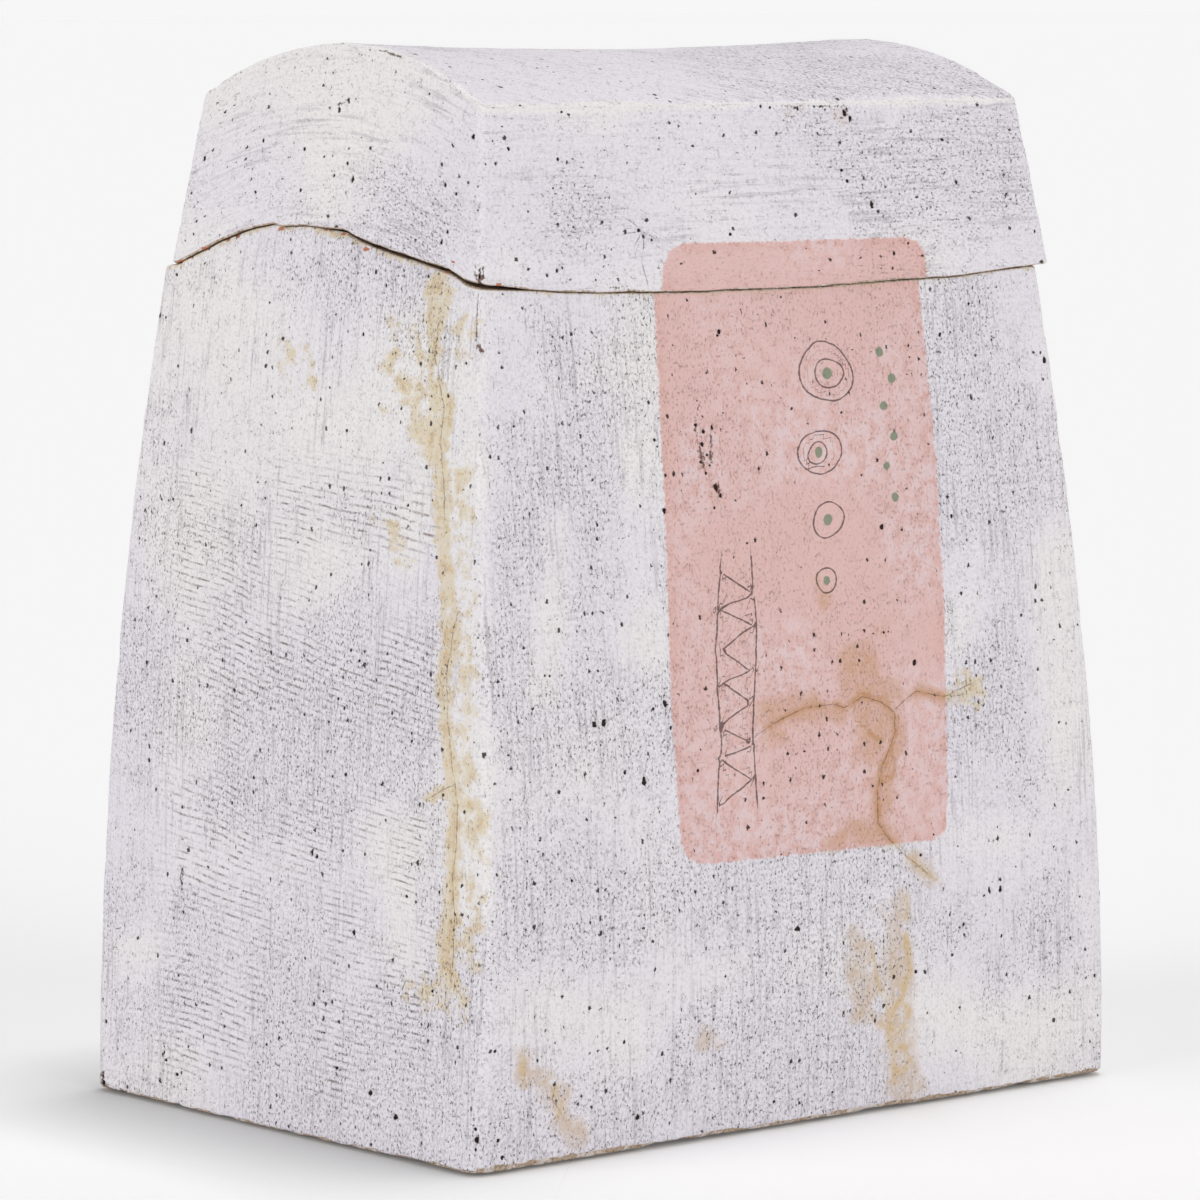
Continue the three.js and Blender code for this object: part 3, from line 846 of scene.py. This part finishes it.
def seen_marks(layout, points, marks, cool, dust_and_painted_light):
    """The marks that the photograph shows on a slab, and its changed coolness and dust."""
    px, py = photo_pixel(points)
    wall = layout.side != "top"
    on_jar = layout.shell == "jar"
    grey = coverage(px, py, WASHES)
    pale = coverage(px, py, CREAMS)
    cool = cool + 0.25 + 0.5 * grey - 0.45 * pale
    dust_and_painted_light = dust_and_painted_light + (0.25 if on_jar else 0.6) * grey - 0.5 * pale
    dust_and_painted_light = dust_and_painted_light - 0.6 * np.maximum(coverage(px, py, SMOOTHS), 0)
    wander = 4.0 * layered(points, 6, 41)
    ochre = runs(px, py, OCHRE_PATCHES)
    if layout.side == "left":
        thick = smooth(py, 540, 760)
        run = distance_to_run(px, py, OCHRE_RUN) + 1.5 * thick - 0.6 * wander
        ochre = np.maximum(ochre, np.minimum(run, 3.5 + 6 * thick))
    thin = np.minimum(runs(px, py, PALE_OCHRE) * 0.4 - 2.5, -0.3)
    marks["ochre"] = np.maximum(ochre, thin) + wander
    marks["rust"] = runs(px, py, RUST_PATCHES) + 2.2 * wander
    marks["crack"] = nearest_line(px + 0.3 * wander, py, CRACKS)
    marks["veined"] = nearest_line(px + 0.6 * wander, py + 0.3 * wander, VEINS)
    if wall:
        marks["gouge"] = runs(px, py, GOUGES) + 0.5 * wander
        for x, y, size in FLAKES:
            gap = np.hypot(px - x, 1.4 * (py - y)) * 0.45 / size + 0.4 * uneven(points, 1.2, 46)
            marks["red"] = np.maximum(marks["red"], smooth(-gap, -0.95, -0.7))
    if layout.side == "front":
        marks["pink"] = inside_outline(px, py, PINK_FIELD[layout.shell])
        if on_jar:
            marks["drawn"], marks["dots"] = field_drawing(px + 0.25 * wander, py + 0.2 * wander)
    return cool, dust_and_painted_light


def guessed_marks(points, marks, cool, dust_and_painted_light):
    """Scattered stains on a side that the photograph doesn't show, and stronger washes."""
    marks["rust"] = 26 * layered(points, 26, 57) - 28
    marks["ochre"] = 30 * layered(points * (1, 1, 0.3), 12, 58) - 30
    return 1.2 * cool, 1.2 * dust_and_painted_light


def skin_marks(layout, shares, points, place, above, below, pits, shown):
    """Everything that varies over a slab: its relief, and what its finish reads."""
    outer = shares[:, 2] < 0.5
    count = len(points)
    z = points[:, 2]
    jar_wall = layout.shell == "jar"
    lid_wall = not jar_wall and layout.side != "top"
    marks = {"comb": np.zeros(count), "combed": np.zeros(count), "red": np.zeros(count)}
    for key in MARKS_WITHIN:
        marks[key] = np.full(count, -FAR)
    for key in MARKS_ALONG:
        marks[key] = np.full(count, FAR)
    if jar_wall and layout.side in ("left", "right"):
        marks["combed"] = combed_area(place, z, points) * outer
        marks["comb"] = comb_phase(place, z, points)
    grooves = marks["combed"] * np.maximum(-np.cos(2 * math.pi * marks["comb"]), 0)
    marks["bare"] = np.where(outer, bare_clay(layout, points, above, below), INNER_FACE)
    depth, inside = pit_carving(points, pits)
    marks["pit"] = inside * outer

    cool = layered(points, 62, 51)
    dust_and_painted_light = layered(points, 27, 54)
    if shown:
        cool, dust_and_painted_light = seen_marks(layout, points, marks, cool, dust_and_painted_light)
    else:
        cool, dust_and_painted_light = guessed_marks(points, marks, cool, dust_and_painted_light)
    # The lid's top is cooler and dustier: partly its own lilac-grey slip, partly painted shade that darkens
    # the up-facing top
    if layout.side == "top":
        cool = cool + 1.1
        dust_and_painted_light = dust_and_painted_light + 0.3
    if lid_wall:
        cool = cool - 0.15
        dust_and_painted_light = dust_and_painted_light - 0.25
    if not jar_wall:
        # Along the lid's upper edges the slip is creamer and cleaner: partly rubbed wear, partly a painted
        # highlight on the rounded edge
        edge_wear_and_highlight = smooth(-below, -3.2, -0.6) * (0.7 + 0.5 * layered(points, 14, 61, 2))
        cool = cool - 2.2 * edge_wear_and_highlight
        dust_and_painted_light = dust_and_painted_light - 1.2 * edge_wear_and_highlight
    if jar_wall:
        stained = 0.0 if layout.side == "front" else 2.4
        marks["ochre"] = np.maximum(marks["ochre"], stained - 3.2 * below + 2.5 * layered(points, 8, 59, 2))
    marks["cool"] = smooth(cool, -0.9, 0.9)
    marks["dust_and_painted_light"] = smooth(dust_and_painted_light, -0.7, 1.0)
    marks["stroke"] = stroke_places(layout, points, place)

    relief = slab_relief(points, grooves) - wear(points, edge_share(layout, shares, above, below)) - depth
    relief = relief - 0.3 * marks["bare"] * outer - 0.45 * marks["red"]
    marks["relief"] = relief - 0.2 * (1 - smooth(np.abs(marks["crack"]), 0.2, 1.1))
    for key in MARKS_WITHIN:
        marks[key] = np.where(outer, marks[key], -FAR)
    for key in MARKS_ALONG:
        marks[key] = np.where(outer, marks[key], FAR)
    marks["red"] = marks["red"] * outer
    return marks


def ring(x, y, radius, wobble):
    """A hand-drawn ring as a closed line."""
    turns = np.linspace(0, 2 * math.pi, 25)
    reach = radius * (1 + 0.07 * np.sin(2 * turns + wobble) + 0.04 * np.sin(3 * turns + 2 * wobble))
    return tuple(zip(x + reach * np.cos(turns), y + 1.08 * reach * np.sin(turns)))


# A plain drawing scratched into the field: rings with painted middles, and a ladder of zigzags
RINGS = (
    (826, 372, 27), (829, 373, 14), (820, 452, 21), (818, 453, 10), (829, 520, 16), (827, 580, 11))
RING_DOTS = (
    (827, 373, 5), (819, 452, 4.5), (829, 520, 5), (827, 580, 4), (880, 352, 4), (892, 378, 4),
    (884, 406, 4), (894, 436, 4), (888, 466, 3.5), (896, 497, 4))
LADDER = (
    ((722, 560), (716, 650), (722, 735), (718, 812)), ((752, 556), (758, 645), (753, 730), (759, 806)))
ZIGZAG_STEPS = 13


def field_drawing(px, py):
    """Pixels from the scratched lines, and pixels inside the painted dots."""
    lines = [ring(x, y, radius, number) for number, (x, y, radius) in enumerate(RINGS)]
    lines.extend(LADDER)
    lines.append(tuple(
        (721 + 32 * (step % 2) + 3 * math.sin(2.3 * step), 572 + 19 * step + 4 * math.sin(1.7 * step))
        for step in range(ZIGZAG_STEPS)))
    nearest = nearest_line(px, py, lines)
    dots = np.max([radius - np.hypot(px - x, 0.8 * (py - y)) for x, y, radius in RING_DOTS], axis=0)
    return nearest, dots


# How far apart the sides' strokes lie in the noise, in millimetres, and how the top's strokes turn
SIDE_OFFSET = 400
TOP_OFFSET = 900
TOP_STROKE_TURN = math.radians(28)


def stroke_places(layout, points, place):
    """Millimetres across and along the brush strokes, with each slab in a stretch of its own."""
    x, y, z = points.T
    offset = SIDE_OFFSET * list(SIDES).index(layout.side) if layout.side in SIDES else TOP_OFFSET
    if layout.side == "top":
        turn = TOP_STROKE_TURN
        across = x * math.sin(turn) + y * math.cos(turn)
        along = x * math.cos(turn) - y * math.sin(turn)
    elif layout.shell == "jar":
        across, along = place, z
    elif layout.side in ("left", "right"):
        across, along = z - 0.75 * (layout.form.crown(x, y) - layout.form.rim_height), place
    else:
        across, along = z, place
    return np.stack([across + offset, along, np.zeros(len(points))], axis=1)


def finish_piece(name, mesh, body, nodes, material):
    """Makes a piece of a mesh, with its finish, its body and the nodes that it stands for."""
    mesh.materials.append(material)
    mesh.shade_smooth()
    mesh.set_sharp_from_angle(angle=SHARP_ANGLE)
    piece = bpy.data.objects.new(name, mesh)
    bpy.context.scene.collection.objects.link(piece)
    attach(piece, body)
    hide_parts(*nodes)
    return piece


# Finishes

WHITE = (1, 1, 1, 1)
BLACK = (0, 0, 0, 1)


class Graph:
    """Adds nodes to a material or a world and links them."""

    def __init__(self, owner):
        self.owner = owner
        self.owner.use_nodes = True
        self.tree = self.owner.node_tree
        self.tree.nodes.clear()

    def add(self, kind, inputs=None, **settings):
        node = self.tree.nodes.new(kind)
        for key, value in settings.items():
            setattr(node, key, value)
        for key, value in (inputs or {}).items():
            self.plug(node.inputs[key], value)
        return node

    def plug(self, socket, value):
        if isinstance(value, bpy.types.NodeSocket):
            self.tree.links.new(value, socket)
        else:
            socket.default_value = value

    def attribute(self, name, output="Fac"):
        return self.add("ShaderNodeAttribute", attribute_name=name).outputs[output]

    def math(self, operation, first, second=0.0):
        return self.add("ShaderNodeMath", {0: first, 1: second}, operation=operation).outputs[0]

    def times(self, first, second):
        return self.math("MULTIPLY", first, second)

    def plus(self, first, second):
        return self.math("ADD", first, second)

    def minus(self, first, second):
        return self.math("SUBTRACT", first, second)

    def about(self, noise, reach):
        """A noise of 0 to 1 as moves of up to half the reach either way."""
        return self.times(self.minus(noise, 0.5), reach)

    def rise(self, value, low, high, to_low=0.0, to_high=1.0):
        """Smoothly from to_low at low to to_high at high."""
        return self.add("ShaderNodeMapRange", {
            "Value": value, "From Min": low, "From Max": high, "To Min": to_low, "To Max": to_high},
            interpolation_type="SMOOTHSTEP").outputs["Result"]

    def noise(self, vector, detail=2.0, roughness=0.5, flat=True):
        """Noise with bumps of about one unit."""
        return self.add("ShaderNodeTexNoise", {
            "Vector": vector, "Scale": 1.0, "Detail": detail, "Roughness": roughness},
            noise_dimensions="2D" if flat else "3D").outputs["Fac"]

    def scaled(self, vector, scale, offset=(0, 0, 0), turn=0.0):
        return self.add("ShaderNodeMapping", {
            "Vector": vector, "Location": offset, "Rotation": (0, 0, turn), "Scale": scale}).outputs[0]

    def warped(self, vector, first, second):
        """A vector moved by up to half a cell by two noises."""
        moved = self.add("ShaderNodeCombineXYZ", {0: first, 1: second}).outputs[0]
        return self.add("ShaderNodeVectorMath", {0: vector, 1: self.scaled(moved, (0.45, 0.45, 1))},
                        operation="ADD").outputs[0]

    def mix(self, share, first, second):
        return self.add("ShaderNodeMix", {0: share, 6: first, 7: second}, data_type="RGBA").outputs[2]

    def seen_directly(self):
        """1 for what the camera sees, also in gloss and through glass."""
        path = self.add("ShaderNodeLightPath").outputs
        through = self.math("MAXIMUM", path["Is Glossy Ray"], path["Is Transmission Ray"])
        return self.math("MAXIMUM", path["Is Camera Ray"], through)

    def finish(self, colour, rough, height, strength, distance):
        """Ends a material in a matt shader with fine bumps."""
        bump = self.add("ShaderNodeBump", {"Height": height, "Strength": strength, "Distance": distance})
        shader = self.add("ShaderNodeBsdfPrincipled", {
            "Base Color": colour, "Roughness": rough, "Normal": bump.outputs[0], "Specular IOR Level": 0.2})
        self.add("ShaderNodeOutputMaterial", {"Surface": shader.outputs[0]})


class SlipGraph(Graph):
    """Brushed, pitted white slip, laid on in layers that share the same noises."""

    def __init__(self, owner, look):
        super().__init__(owner)
        self.look = look
        self.stroke = self.attribute("stroke", "Vector")
        self.cool = self.attribute("cool")
        self.dust_and_painted_light = self.attribute("dust_and_painted_light")

        # Bumps of 1 mm, short marks, 5 mm flakes, broken stretches and long brush lines
        self.grain = self.fleck((0.95, 0.85), (0, 0), 3, 0.7)
        self.marks = self.fleck((1.15, 0.75), (31, 7), 2, 0.65)
        self.flake = self.fleck((0.2, 0.2), (11, 3), 5, 0.7)
        self.broken = self.fleck((0.16, 0.7), (3, 9), 3, 0.6)
        self.brush = self.fleck((0.66, 0.034), (5, 0), 2.2, 0.7)
        self.tufted = self.plus(self.dust_and_painted_light, self.about(self.flake, 2.0))
        self.feather = self.about(self.flake, 16.0)

    def fleck(self, scale, offset, detail, roughness, turn=0.0):
        """Noise over the strokes, with so many bumps to a millimetre across and along them."""
        place = self.scaled(self.stroke, (*scale, 1), (*offset, 0), turn)
        return self.noise(place, detail, roughness)

    def brushwork(self):
        """The slip itself: washes, brush lines, thin places, crumbs and slanting scratches."""
        look, tufted, grain = self.look, self.tufted, self.grain
        sweep = self.fleck((0.055, 0.014), (17, 0), 2, 0.6)
        scratch = self.fleck((1.1, 0.045), (0, 0), 1.5, 0.5, turn=math.radians(32))
        colour = self.mix(self.cool, look.cream, look.lilac)
        swept = self.rise(self.plus(sweep, self.times(tufted, 0.2)), 0.49, 0.76, 0.12, 0.62)
        colour = self.mix(self.times(self.rise(self.brush, 0.46, 0.74), swept), colour, look.stroke)
        thin = self.times(self.rise(grain, 0.48, 0.7), self.rise(tufted, -0.2, 1.0, 0.25, 0.6))
        colour = self.mix(thin, colour, look.stroke)
        colour = self.mix(self.rise(grain, 0.46, 0.3, 0, 0.5), colour, look.cream)
        crumbs = self.rise(self.plus(self.marks, self.times(tufted, 0.06)), 0.62, 0.78, 0, 0.45)
        colour = self.mix(self.times(crumbs, self.rise(tufted, 0.3, 1.2)), colour, look.grime)
        scratched = self.times(self.rise(scratch, 0.64, 0.72), self.rise(self.flake, 0.5, 0.6))
        return self.mix(self.times(scratched, 0.5), colour, look.stroke)

    def combing(self, colour):
        """Grooves of the toothed rib, with a painted highlight on the pale ridges between them."""
        look = self.look
        comb = self.math("COSINE", self.times(self.attribute("comb"), 2 * math.pi))
        combed = self.attribute("combed")
        faded = self.times(self.rise(self.broken, 0.4, 0.58), self.rise(self.flake, 0.62, 0.42, 0.25, 1))
        self.furrow = self.times(self.times(self.rise(comb, -0.4, -0.98), combed), faded)
        # Painted highlight: cream on the ridges between the grooves
        colour = self.mix(self.times(self.rise(comb, -0.1, 0.8, 0, 0.35), combed), colour, look.cream)
        dirt = self.mix(self.rise(self.marks, 0.42, 0.56), look.grime, look.dark_clay_and_seam_shade)
        return self.mix(self.times(self.furrow, 0.88), colour, dirt)

    def painted_field(self, colour):
        """The pink wash, thicker along its edge and worn through in places."""
        look, grain, flake = self.look, self.grain, self.flake
        field = self.attribute("pink")
        frayed = self.plus(self.times(self.feather, 0.16), self.about(self.marks, 5.0))
        self.inside = self.rise(self.plus(field, frayed), -1.3, 1.7)
        coral = self.plus(self.rise(field, 14, 1, 0, 0.5), self.rise(flake, 0.52, 0.72, 0, 0.35))
        wash = self.mix(self.times(coral, self.rise(grain, 0.35, 0.65)), look.pink, look.coral)
        worn = self.times(self.rise(self.cool, 0.4, 0.95, 0, 0.35), self.rise(flake, 0.58, 0.4))
        wash = self.mix(worn, wash, look.lilac)
        wash = self.mix(self.rise(self.marks, 0.56, 0.7, 0, 0.25), wash, look.coral)
        return self.mix(self.times(self.inside, self.rise(grain, 0.64, 0.74, 0.97, 0.7)), colour, wash)

    def stains(self, colour):
        """The ochre run, iron stains with their veins, cracks and crazing."""
        look, grain, flake, inside = self.look, self.grain, self.flake, self.inside
        run = self.plus(self.attribute("ochre"), self.times(self.feather, 1.15))
        run_in = self.times(self.rise(run, -3.0, 2.5), self.rise(grain, 0.64, 0.42, 0.55, 0.95))
        dried = self.plus(self.rise(flake, 0.5, 0.64, 0.05, 0.45), self.rise(run, 3.0, 8.5, 0, 0.85))
        colour = self.mix(self.times(run_in, 0.92), colour, self.mix(dried, look.ochre, look.run_edge))
        stain = self.plus(self.attribute("rust"), self.times(self.feather, 1.2))
        stain_in = self.times(self.rise(stain, -9, 8), self.rise(flake, 0.62, 0.4, 0.4, 0.9))
        colour = self.mix(stain_in, colour, self.mix(inside, look.rust, look.deep_rust))

        fissure = self.math("ABSOLUTE", self.plus(self.attribute("crack"), self.times(self.feather, 0.1)))
        veined = self.math("ABSOLUTE", self.plus(self.attribute("veined"), self.times(self.feather, 0.25)))
        veined = self.times(self.rise(veined, 4.2, 0.6), self.rise(flake, 0.7, 0.4, 0.5, 1.3))
        vein = self.math("MAXIMUM", self.rise(fissure, 6.0, 0.5), veined)
        vein_in = self.times(self.times(vein, self.rise(stain, -7, 4)), self.rise(inside, 0, 1, 0.5, 0.6))
        colour = self.mix(vein_in, colour, self.mix(inside, look.run_edge, look.vein))
        gaping = self.rise(self.broken, 0.38, 0.54, 0.15, 0.7)
        colour = self.mix(self.times(self.rise(fissure, 0.75, 0.15), gaping), colour, look.dark_clay_and_seam_shade)
        craze = self.add("ShaderNodeTexVoronoi", {
            "Vector": self.scaled(self.stroke, (0.33, 0.4, 1)), "Scale": 1.0},
            feature="DISTANCE_TO_EDGE", voronoi_dimensions="2D")
        craze_in = self.times(self.rise(craze.outputs["Distance"], 0.05, 0.0), self.rise(flake, 0.54, 0.62))
        return self.mix(self.times(craze_in, 0.5), colour, look.grime)

    def specks(self, colour):
        """Dark specks, squiggles and holes of burnt-out grog, thicker where the slip is powdery and on the
        lid top's painted shade, thinner on the painted highlight along the lid's upper edges.
        """
        look, marks, grain = self.look, self.marks, self.grain
        speck_chance = self.plus(marks, self.plus(self.rise(self.dust_and_painted_light, 0.0, 1.0, -0.03, 0.045),
                                           self.about(self.flake, 0.25)))
        ridge = self.math("ABSOLUTE", self.minus(grain, 0.5))
        squiggle = self.times(self.rise(ridge, 0.035, 0.004), self.rise(speck_chance, 0.56, 0.67, 0, 0.7))
        self.speck = self.math("MAXIMUM", self.rise(speck_chance, 0.68, 0.78, 0, 0.9), squiggle)
        warped = self.warped(self.scaled(self.stroke, (0.27, 0.22, 1)), marks, grain)
        cells = self.add("ShaderNodeTexVoronoi", {"Vector": warped, "Scale": 1.0}, voronoi_dimensions="2D")
        parts = self.add("ShaderNodeSeparateColor", {"Color": cells.outputs["Color"]}).outputs
        radius = self.times(self.math("POWER", parts[1], 3.0), self.rise(parts[0], 0.35, 0.5, 0.19, 0.0))
        self.hole = self.rise(self.minus(radius, cells.outputs["Distance"]), 0.0, 0.035)
        fewer = self.times(self.speck, self.rise(self.inside, 0, 1, 1, 0.35))
        return self.mix(self.times(self.hole, 0.95), self.mix(fewer, colour, look.speck), look.speck)

    def bare_places(self, colour):
        """Clay along the foot and in the seam, with painted shade darkening the seam's inner faces, red
        flakes and torn places.
        """
        look, grain, flake = self.look, self.grain, self.flake
        bare = self.attribute("bare")
        clay = self.mix(self.rise(grain, 0.42, 0.66, 0, 0.8), look.clay, look.dark_clay_and_seam_shade)
        clay = self.mix(self.rise(flake, 0.5, 0.6, 0, 0.6), clay, look.cream)
        # Painted shade: the faces between the outer lip and the inner face are darkened with dark clay,
        # most near the lip
        seam_shade = self.times(self.rise(bare, 1.0, 1.15, 0, 0.9), self.rise(bare, 2.5, 1.7, 0.25, 1))
        clay = self.mix(seam_shade, clay, look.dark_clay_and_seam_shade)
        bare_in = self.rise(self.plus(bare, self.times(self.feather, 0.04)), 0.35, 0.65)
        colour = self.mix(bare_in, colour, clay)
        red = self.rise(self.plus(self.attribute("red"), self.times(self.feather, 0.05)), 0.4, 0.7)
        colour = self.mix(red, colour, look.terracotta)
        ragged = self.plus(self.attribute("gouge"), self.about(grain, 9.0))
        self.torn = self.rise(ragged, -0.6, 1.4, 0, 0.92)
        depths = self.mix(self.rise(self.marks, 0.54, 0.7), look.gouge, look.speck)
        return self.mix(self.torn, colour, depths)

    def drawing(self, colour):
        """The painted dots and scratched lines of the field, and the pits over all."""
        look = self.look
        painted = self.plus(self.attribute("dots"), self.times(self.feather, 0.12))
        colour = self.mix(self.rise(painted, -0.4, 0.8, 0, 0.85), colour, look.green)
        width = self.rise(self.broken, 0.4, 0.6, 0.35, 0.75)
        beside = self.minus(self.math("ABSOLUTE", self.attribute("drawn")), width)
        colour = self.mix(self.rise(beside, 0.5, -0.1, 0, 0.8), colour, look.scratched)
        pit = self.rise(self.plus(self.attribute("pit"), self.about(self.grain, 0.9)), 0.4, 0.6)
        return self.mix(pit, colour, look.speck)

    def height(self):
        """The fine bumps: grain and brush lines, less what is hollow."""
        height = self.plus(self.times(self.grain, 0.6), self.times(self.brush, 0.4))
        for hollow, share in ((self.speck, 0.3), (self.hole, 0.6), (self.furrow, 0.35), (self.torn, 0.6)):
            height = self.minus(height, self.times(hollow, share))
        return height


def slip_material():
    """Brushed, pitted white slip with its washes, stains and worn edges, and painted light: a highlight
    along the lid's upper edges and on the comb's ridges, and shade in the seam and on the lid's top.
    """
    if "brushed_slip" in bpy.data.materials:
        return bpy.data.materials["brushed_slip"]
    g = SlipGraph(bpy.data.materials.new("brushed_slip"), bpy.context.scene.slab_jar_colours)
    colour = g.brushwork()
    for layer in (g.combing, g.painted_field, g.stains, g.specks, g.bare_places, g.drawing):
        colour = layer(colour)
    g.finish(colour, g.rise(g.grain, 0.3, 0.7, 0.82, 0.97), g.height(), 0.9, 0.0005)
    return g.owner


def clay_material():
    """Rough grogged stoneware without slip, with broad paler places."""
    if "grogged_clay" in bpy.data.materials:
        return bpy.data.materials["grogged_clay"]
    look = bpy.context.scene.slab_jar_colours
    g = Graph(bpy.data.materials.new("grogged_clay"))
    place = g.add("ShaderNodeTexCoord").outputs["Object"]
    broad, crumble, grog = (
        g.noise(g.scaled(place, (per_metre,) * 3), detail, roughness, flat=False)
        for per_metre, detail, roughness in ((24, 3, 0.6), (300, 4, 0.65), (1000, 1, 0.5)))
    colour = g.mix(g.rise(broad, 0.35, 0.65, 0.0, 0.5), look.clay, look.cream)
    colour = g.mix(g.rise(crumble, 0.5, 0.7, 0, 0.6), colour, look.dark_clay_and_seam_shade)
    colour = g.mix(g.rise(grog, 0.66, 0.72, 0, 0.7), colour, look.speck)
    height = g.minus(g.times(crumble, 0.6), g.times(grog, 0.4))
    g.finish(colour, g.rise(crumble, 0.3, 0.7, 0.85, 0.98), height, 0.8, 0.0006)
    return g.owner


def floor_material():
    """A pale floor, which the camera sees a little lighter than it lights the jar, with a shadow painted
    into its colour near the jar.
    """
    look = bpy.context.scene.slab_jar_colours
    g = Graph(bpy.data.materials.new("pale_floor"))
    bounce = g.add("ShaderNodeBsdfDiffuse", {"Color": look.floor_bounce}).outputs[0]
    towards = g.add("ShaderNodeCombineXYZ", dict(zip("XYZ", SHADE_FROM))).outputs[0]
    # Painted shadow: occlusion towards one side darkens the floor's colour and its lift near the jar
    shade = g.add("ShaderNodeAmbientOcclusion", {"Distance": SHADE_REACH, "Normal": towards}).outputs["AO"]
    shade = g.math("POWER", shade, SHADE_POWER)
    matt = g.add("ShaderNodeBsdfDiffuse", {"Color": g.mix(shade, BLACK, look.floor)}).outputs[0]
    lift = g.add("ShaderNodeEmission", {"Color": WHITE, "Strength": g.times(shade, FLOOR_LIFT)}).outputs[0]
    pale = g.add("ShaderNodeAddShader", {0: matt, 1: lift}).outputs[0]
    shown = g.add("ShaderNodeMixShader", {0: g.seen_directly(), 1: bounce, 2: pale}).outputs[0]
    g.add("ShaderNodeOutputMaterial", {"Surface": shown})
    return g.owner


# Operators, one for each group of pieces

def current_form():
    return Form(bpy.context.scene.slab_jar_sizes)


class SLABJAR_OT_walls(bpy.types.Operator):
    """Build the jar's four mitred wall slabs"""
    bl_idname = "slabjar.walls"
    bl_label = "Jar walls"

    def execute(self, context):
        for seed, (side, cells) in enumerate(WALL_CELLS.items()):
            layout = WallLayout(current_form(), "jar", side, cells)
            skin(f"{side}_slab", layout, cells, "jar", [f"{side}_wall"], WALL_SEED + seed)
        return {"FINISHED"}


class SLABJAR_OT_lid(bpy.types.Operator):
    """Build the lid's side slabs and its saddle-backed top"""
    bl_idname = "slabjar.lid"
    bl_label = "Lid"

    def execute(self, context):
        form = current_form()
        for seed, (side, cells) in enumerate(LID_CELLS.items()):
            layout = WallLayout(form, "lid", side, cells)
            skin(f"lid_{side}_slab", layout, cells, "lid", [f"lid_{side}_wall"], LID_SEED + seed)
        skin("lid_top", TopLayout(form, TOP_CELLS), TOP_CELLS, "lid", ["lid_top_slab"], TOP_SEED)
        return {"FINISHED"}


class SLABJAR_OT_hidden_clay(bpy.types.Operator):
    """Finish the floor, the coils and the strips round the mouth in bare clay"""
    bl_idname = "slabjar.hidden_clay"
    bl_label = "Floor, coils and strips"

    def execute(self, context):
        for name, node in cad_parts.items():
            if name.startswith(("floor", "corner", "rim", "lid_coil")):
                node.data.materials.clear()
                node.data.materials.append(clay_material())
        return {"FINISHED"}


class SLABJAR_OT_stage(bpy.types.Operator):
    """Set the floor, the soft light and the camera"""
    bl_idname = "slabjar.stage"
    bl_label = "Stage"

    def execute(self, context):
        bm = bmesh.new()
        bmesh.ops.create_grid(bm, x_segments=1, y_segments=1, size=FLOOR_REACH)
        mesh = bpy.data.meshes.new("floor")
        bm.to_mesh(mesh)
        bm.free()
        mesh.materials.append(floor_material())
        floor = bpy.data.objects.new("floor", mesh)
        context.scene.collection.objects.link(floor)
        self.light(context.scene)
        self.camera(context.scene)
        context.scene.view_settings.view_transform = "Standard"
        return {"FINISHED"}

    def light(self, scene):
        """A soft white room, seen as plain as the floor, and broad lamps."""
        g = Graph(bpy.data.worlds.new("soft_room"))
        scene.world = g.owner
        room = g.add("ShaderNodeBackground", {"Color": WHITE, "Strength": WORLD_STRENGTH}).outputs[0]
        backdrop = g.add("ShaderNodeBackground", {
            "Color": scene.slab_jar_colours.floor, "Strength": 1.0}).outputs[0]
        either = g.add("ShaderNodeMixShader", {0: g.seen_directly(), 1: room, 2: backdrop}).outputs[0]
        g.add("ShaderNodeOutputWorld", {"Surface": either})
        for name, azimuth, elevation, energy, width in LAMPS:
            lamp = bpy.data.lights.new(name, "SUN")
            lamp.energy = energy
            lamp.angle = math.radians(width)
            sun = bpy.data.objects.new(name, lamp)
            sun.rotation_euler = (math.radians(90 - elevation), 0, math.radians(azimuth))
            scene.collection.objects.link(sun)

    def camera(self, scene):
        """A long lens at the photograph's angle."""
        lens = bpy.data.cameras.new("camera")
        lens.lens = VIEW_LENS
        lens.sensor_width = SENSOR_WIDTH
        lens.shift_x = (PHOTO_PIXELS / 2 - TARGET_PIXEL[0]) / PHOTO_PIXELS
        lens.shift_y = (TARGET_PIXEL[1] - PHOTO_PIXELS / 2) / PHOTO_PIXELS
        lens.clip_end = 200
        camera = bpy.data.objects.new("camera", lens)
        camera.location = np.array(TARGET) + view_axes()[0] * VIEW_DISTANCE
        camera.rotation_euler = (math.radians(90 - VIEW_ELEVATION), 0, math.radians(VIEW_AZIMUTH))
        scene.collection.objects.link(camera)
        scene.camera = camera


class SLABJAR_PT_panel(bpy.types.Panel):
    """Lists the steps that build the jar"""
    bl_idname = "SLABJAR_PT_panel"
    bl_label = "Slab jar"
    bl_space_type = "VIEW_3D"
    bl_region_type = "UI"
    bl_category = "Slab jar"

    def draw(self, context):
        for step in STEPS:
            self.layout.operator(step.bl_idname)
        for group in (context.scene.slab_jar_sizes, context.scene.slab_jar_colours):
            column = self.layout.column()
            for name in group.bl_rna.properties.keys():
                if name not in ("rna_type", "name"):
                    column.prop(group, name)


STEPS = (SLABJAR_OT_walls, SLABJAR_OT_lid, SLABJAR_OT_hidden_clay, SLABJAR_OT_stage)
CLASSES = (SlabJarSizes, SlabJarColours, *STEPS, SLABJAR_PT_panel)


def register():
    for cls in CLASSES:
        bpy.utils.register_class(cls)
    bpy.types.Scene.slab_jar_sizes = bpy.props.PointerProperty(type=SlabJarSizes)
    bpy.types.Scene.slab_jar_colours = bpy.props.PointerProperty(type=SlabJarColours)


def unregister():
    del bpy.types.Scene.slab_jar_colours
    del bpy.types.Scene.slab_jar_sizes
    for cls in reversed(CLASSES):
        bpy.utils.unregister_class(cls)


def main():
    register()
    bpy.ops.slabjar.walls()
    bpy.ops.slabjar.lid()
    bpy.ops.slabjar.hidden_clay()
    bpy.ops.slabjar.stage()


if __name__ == "__main__":
    main()
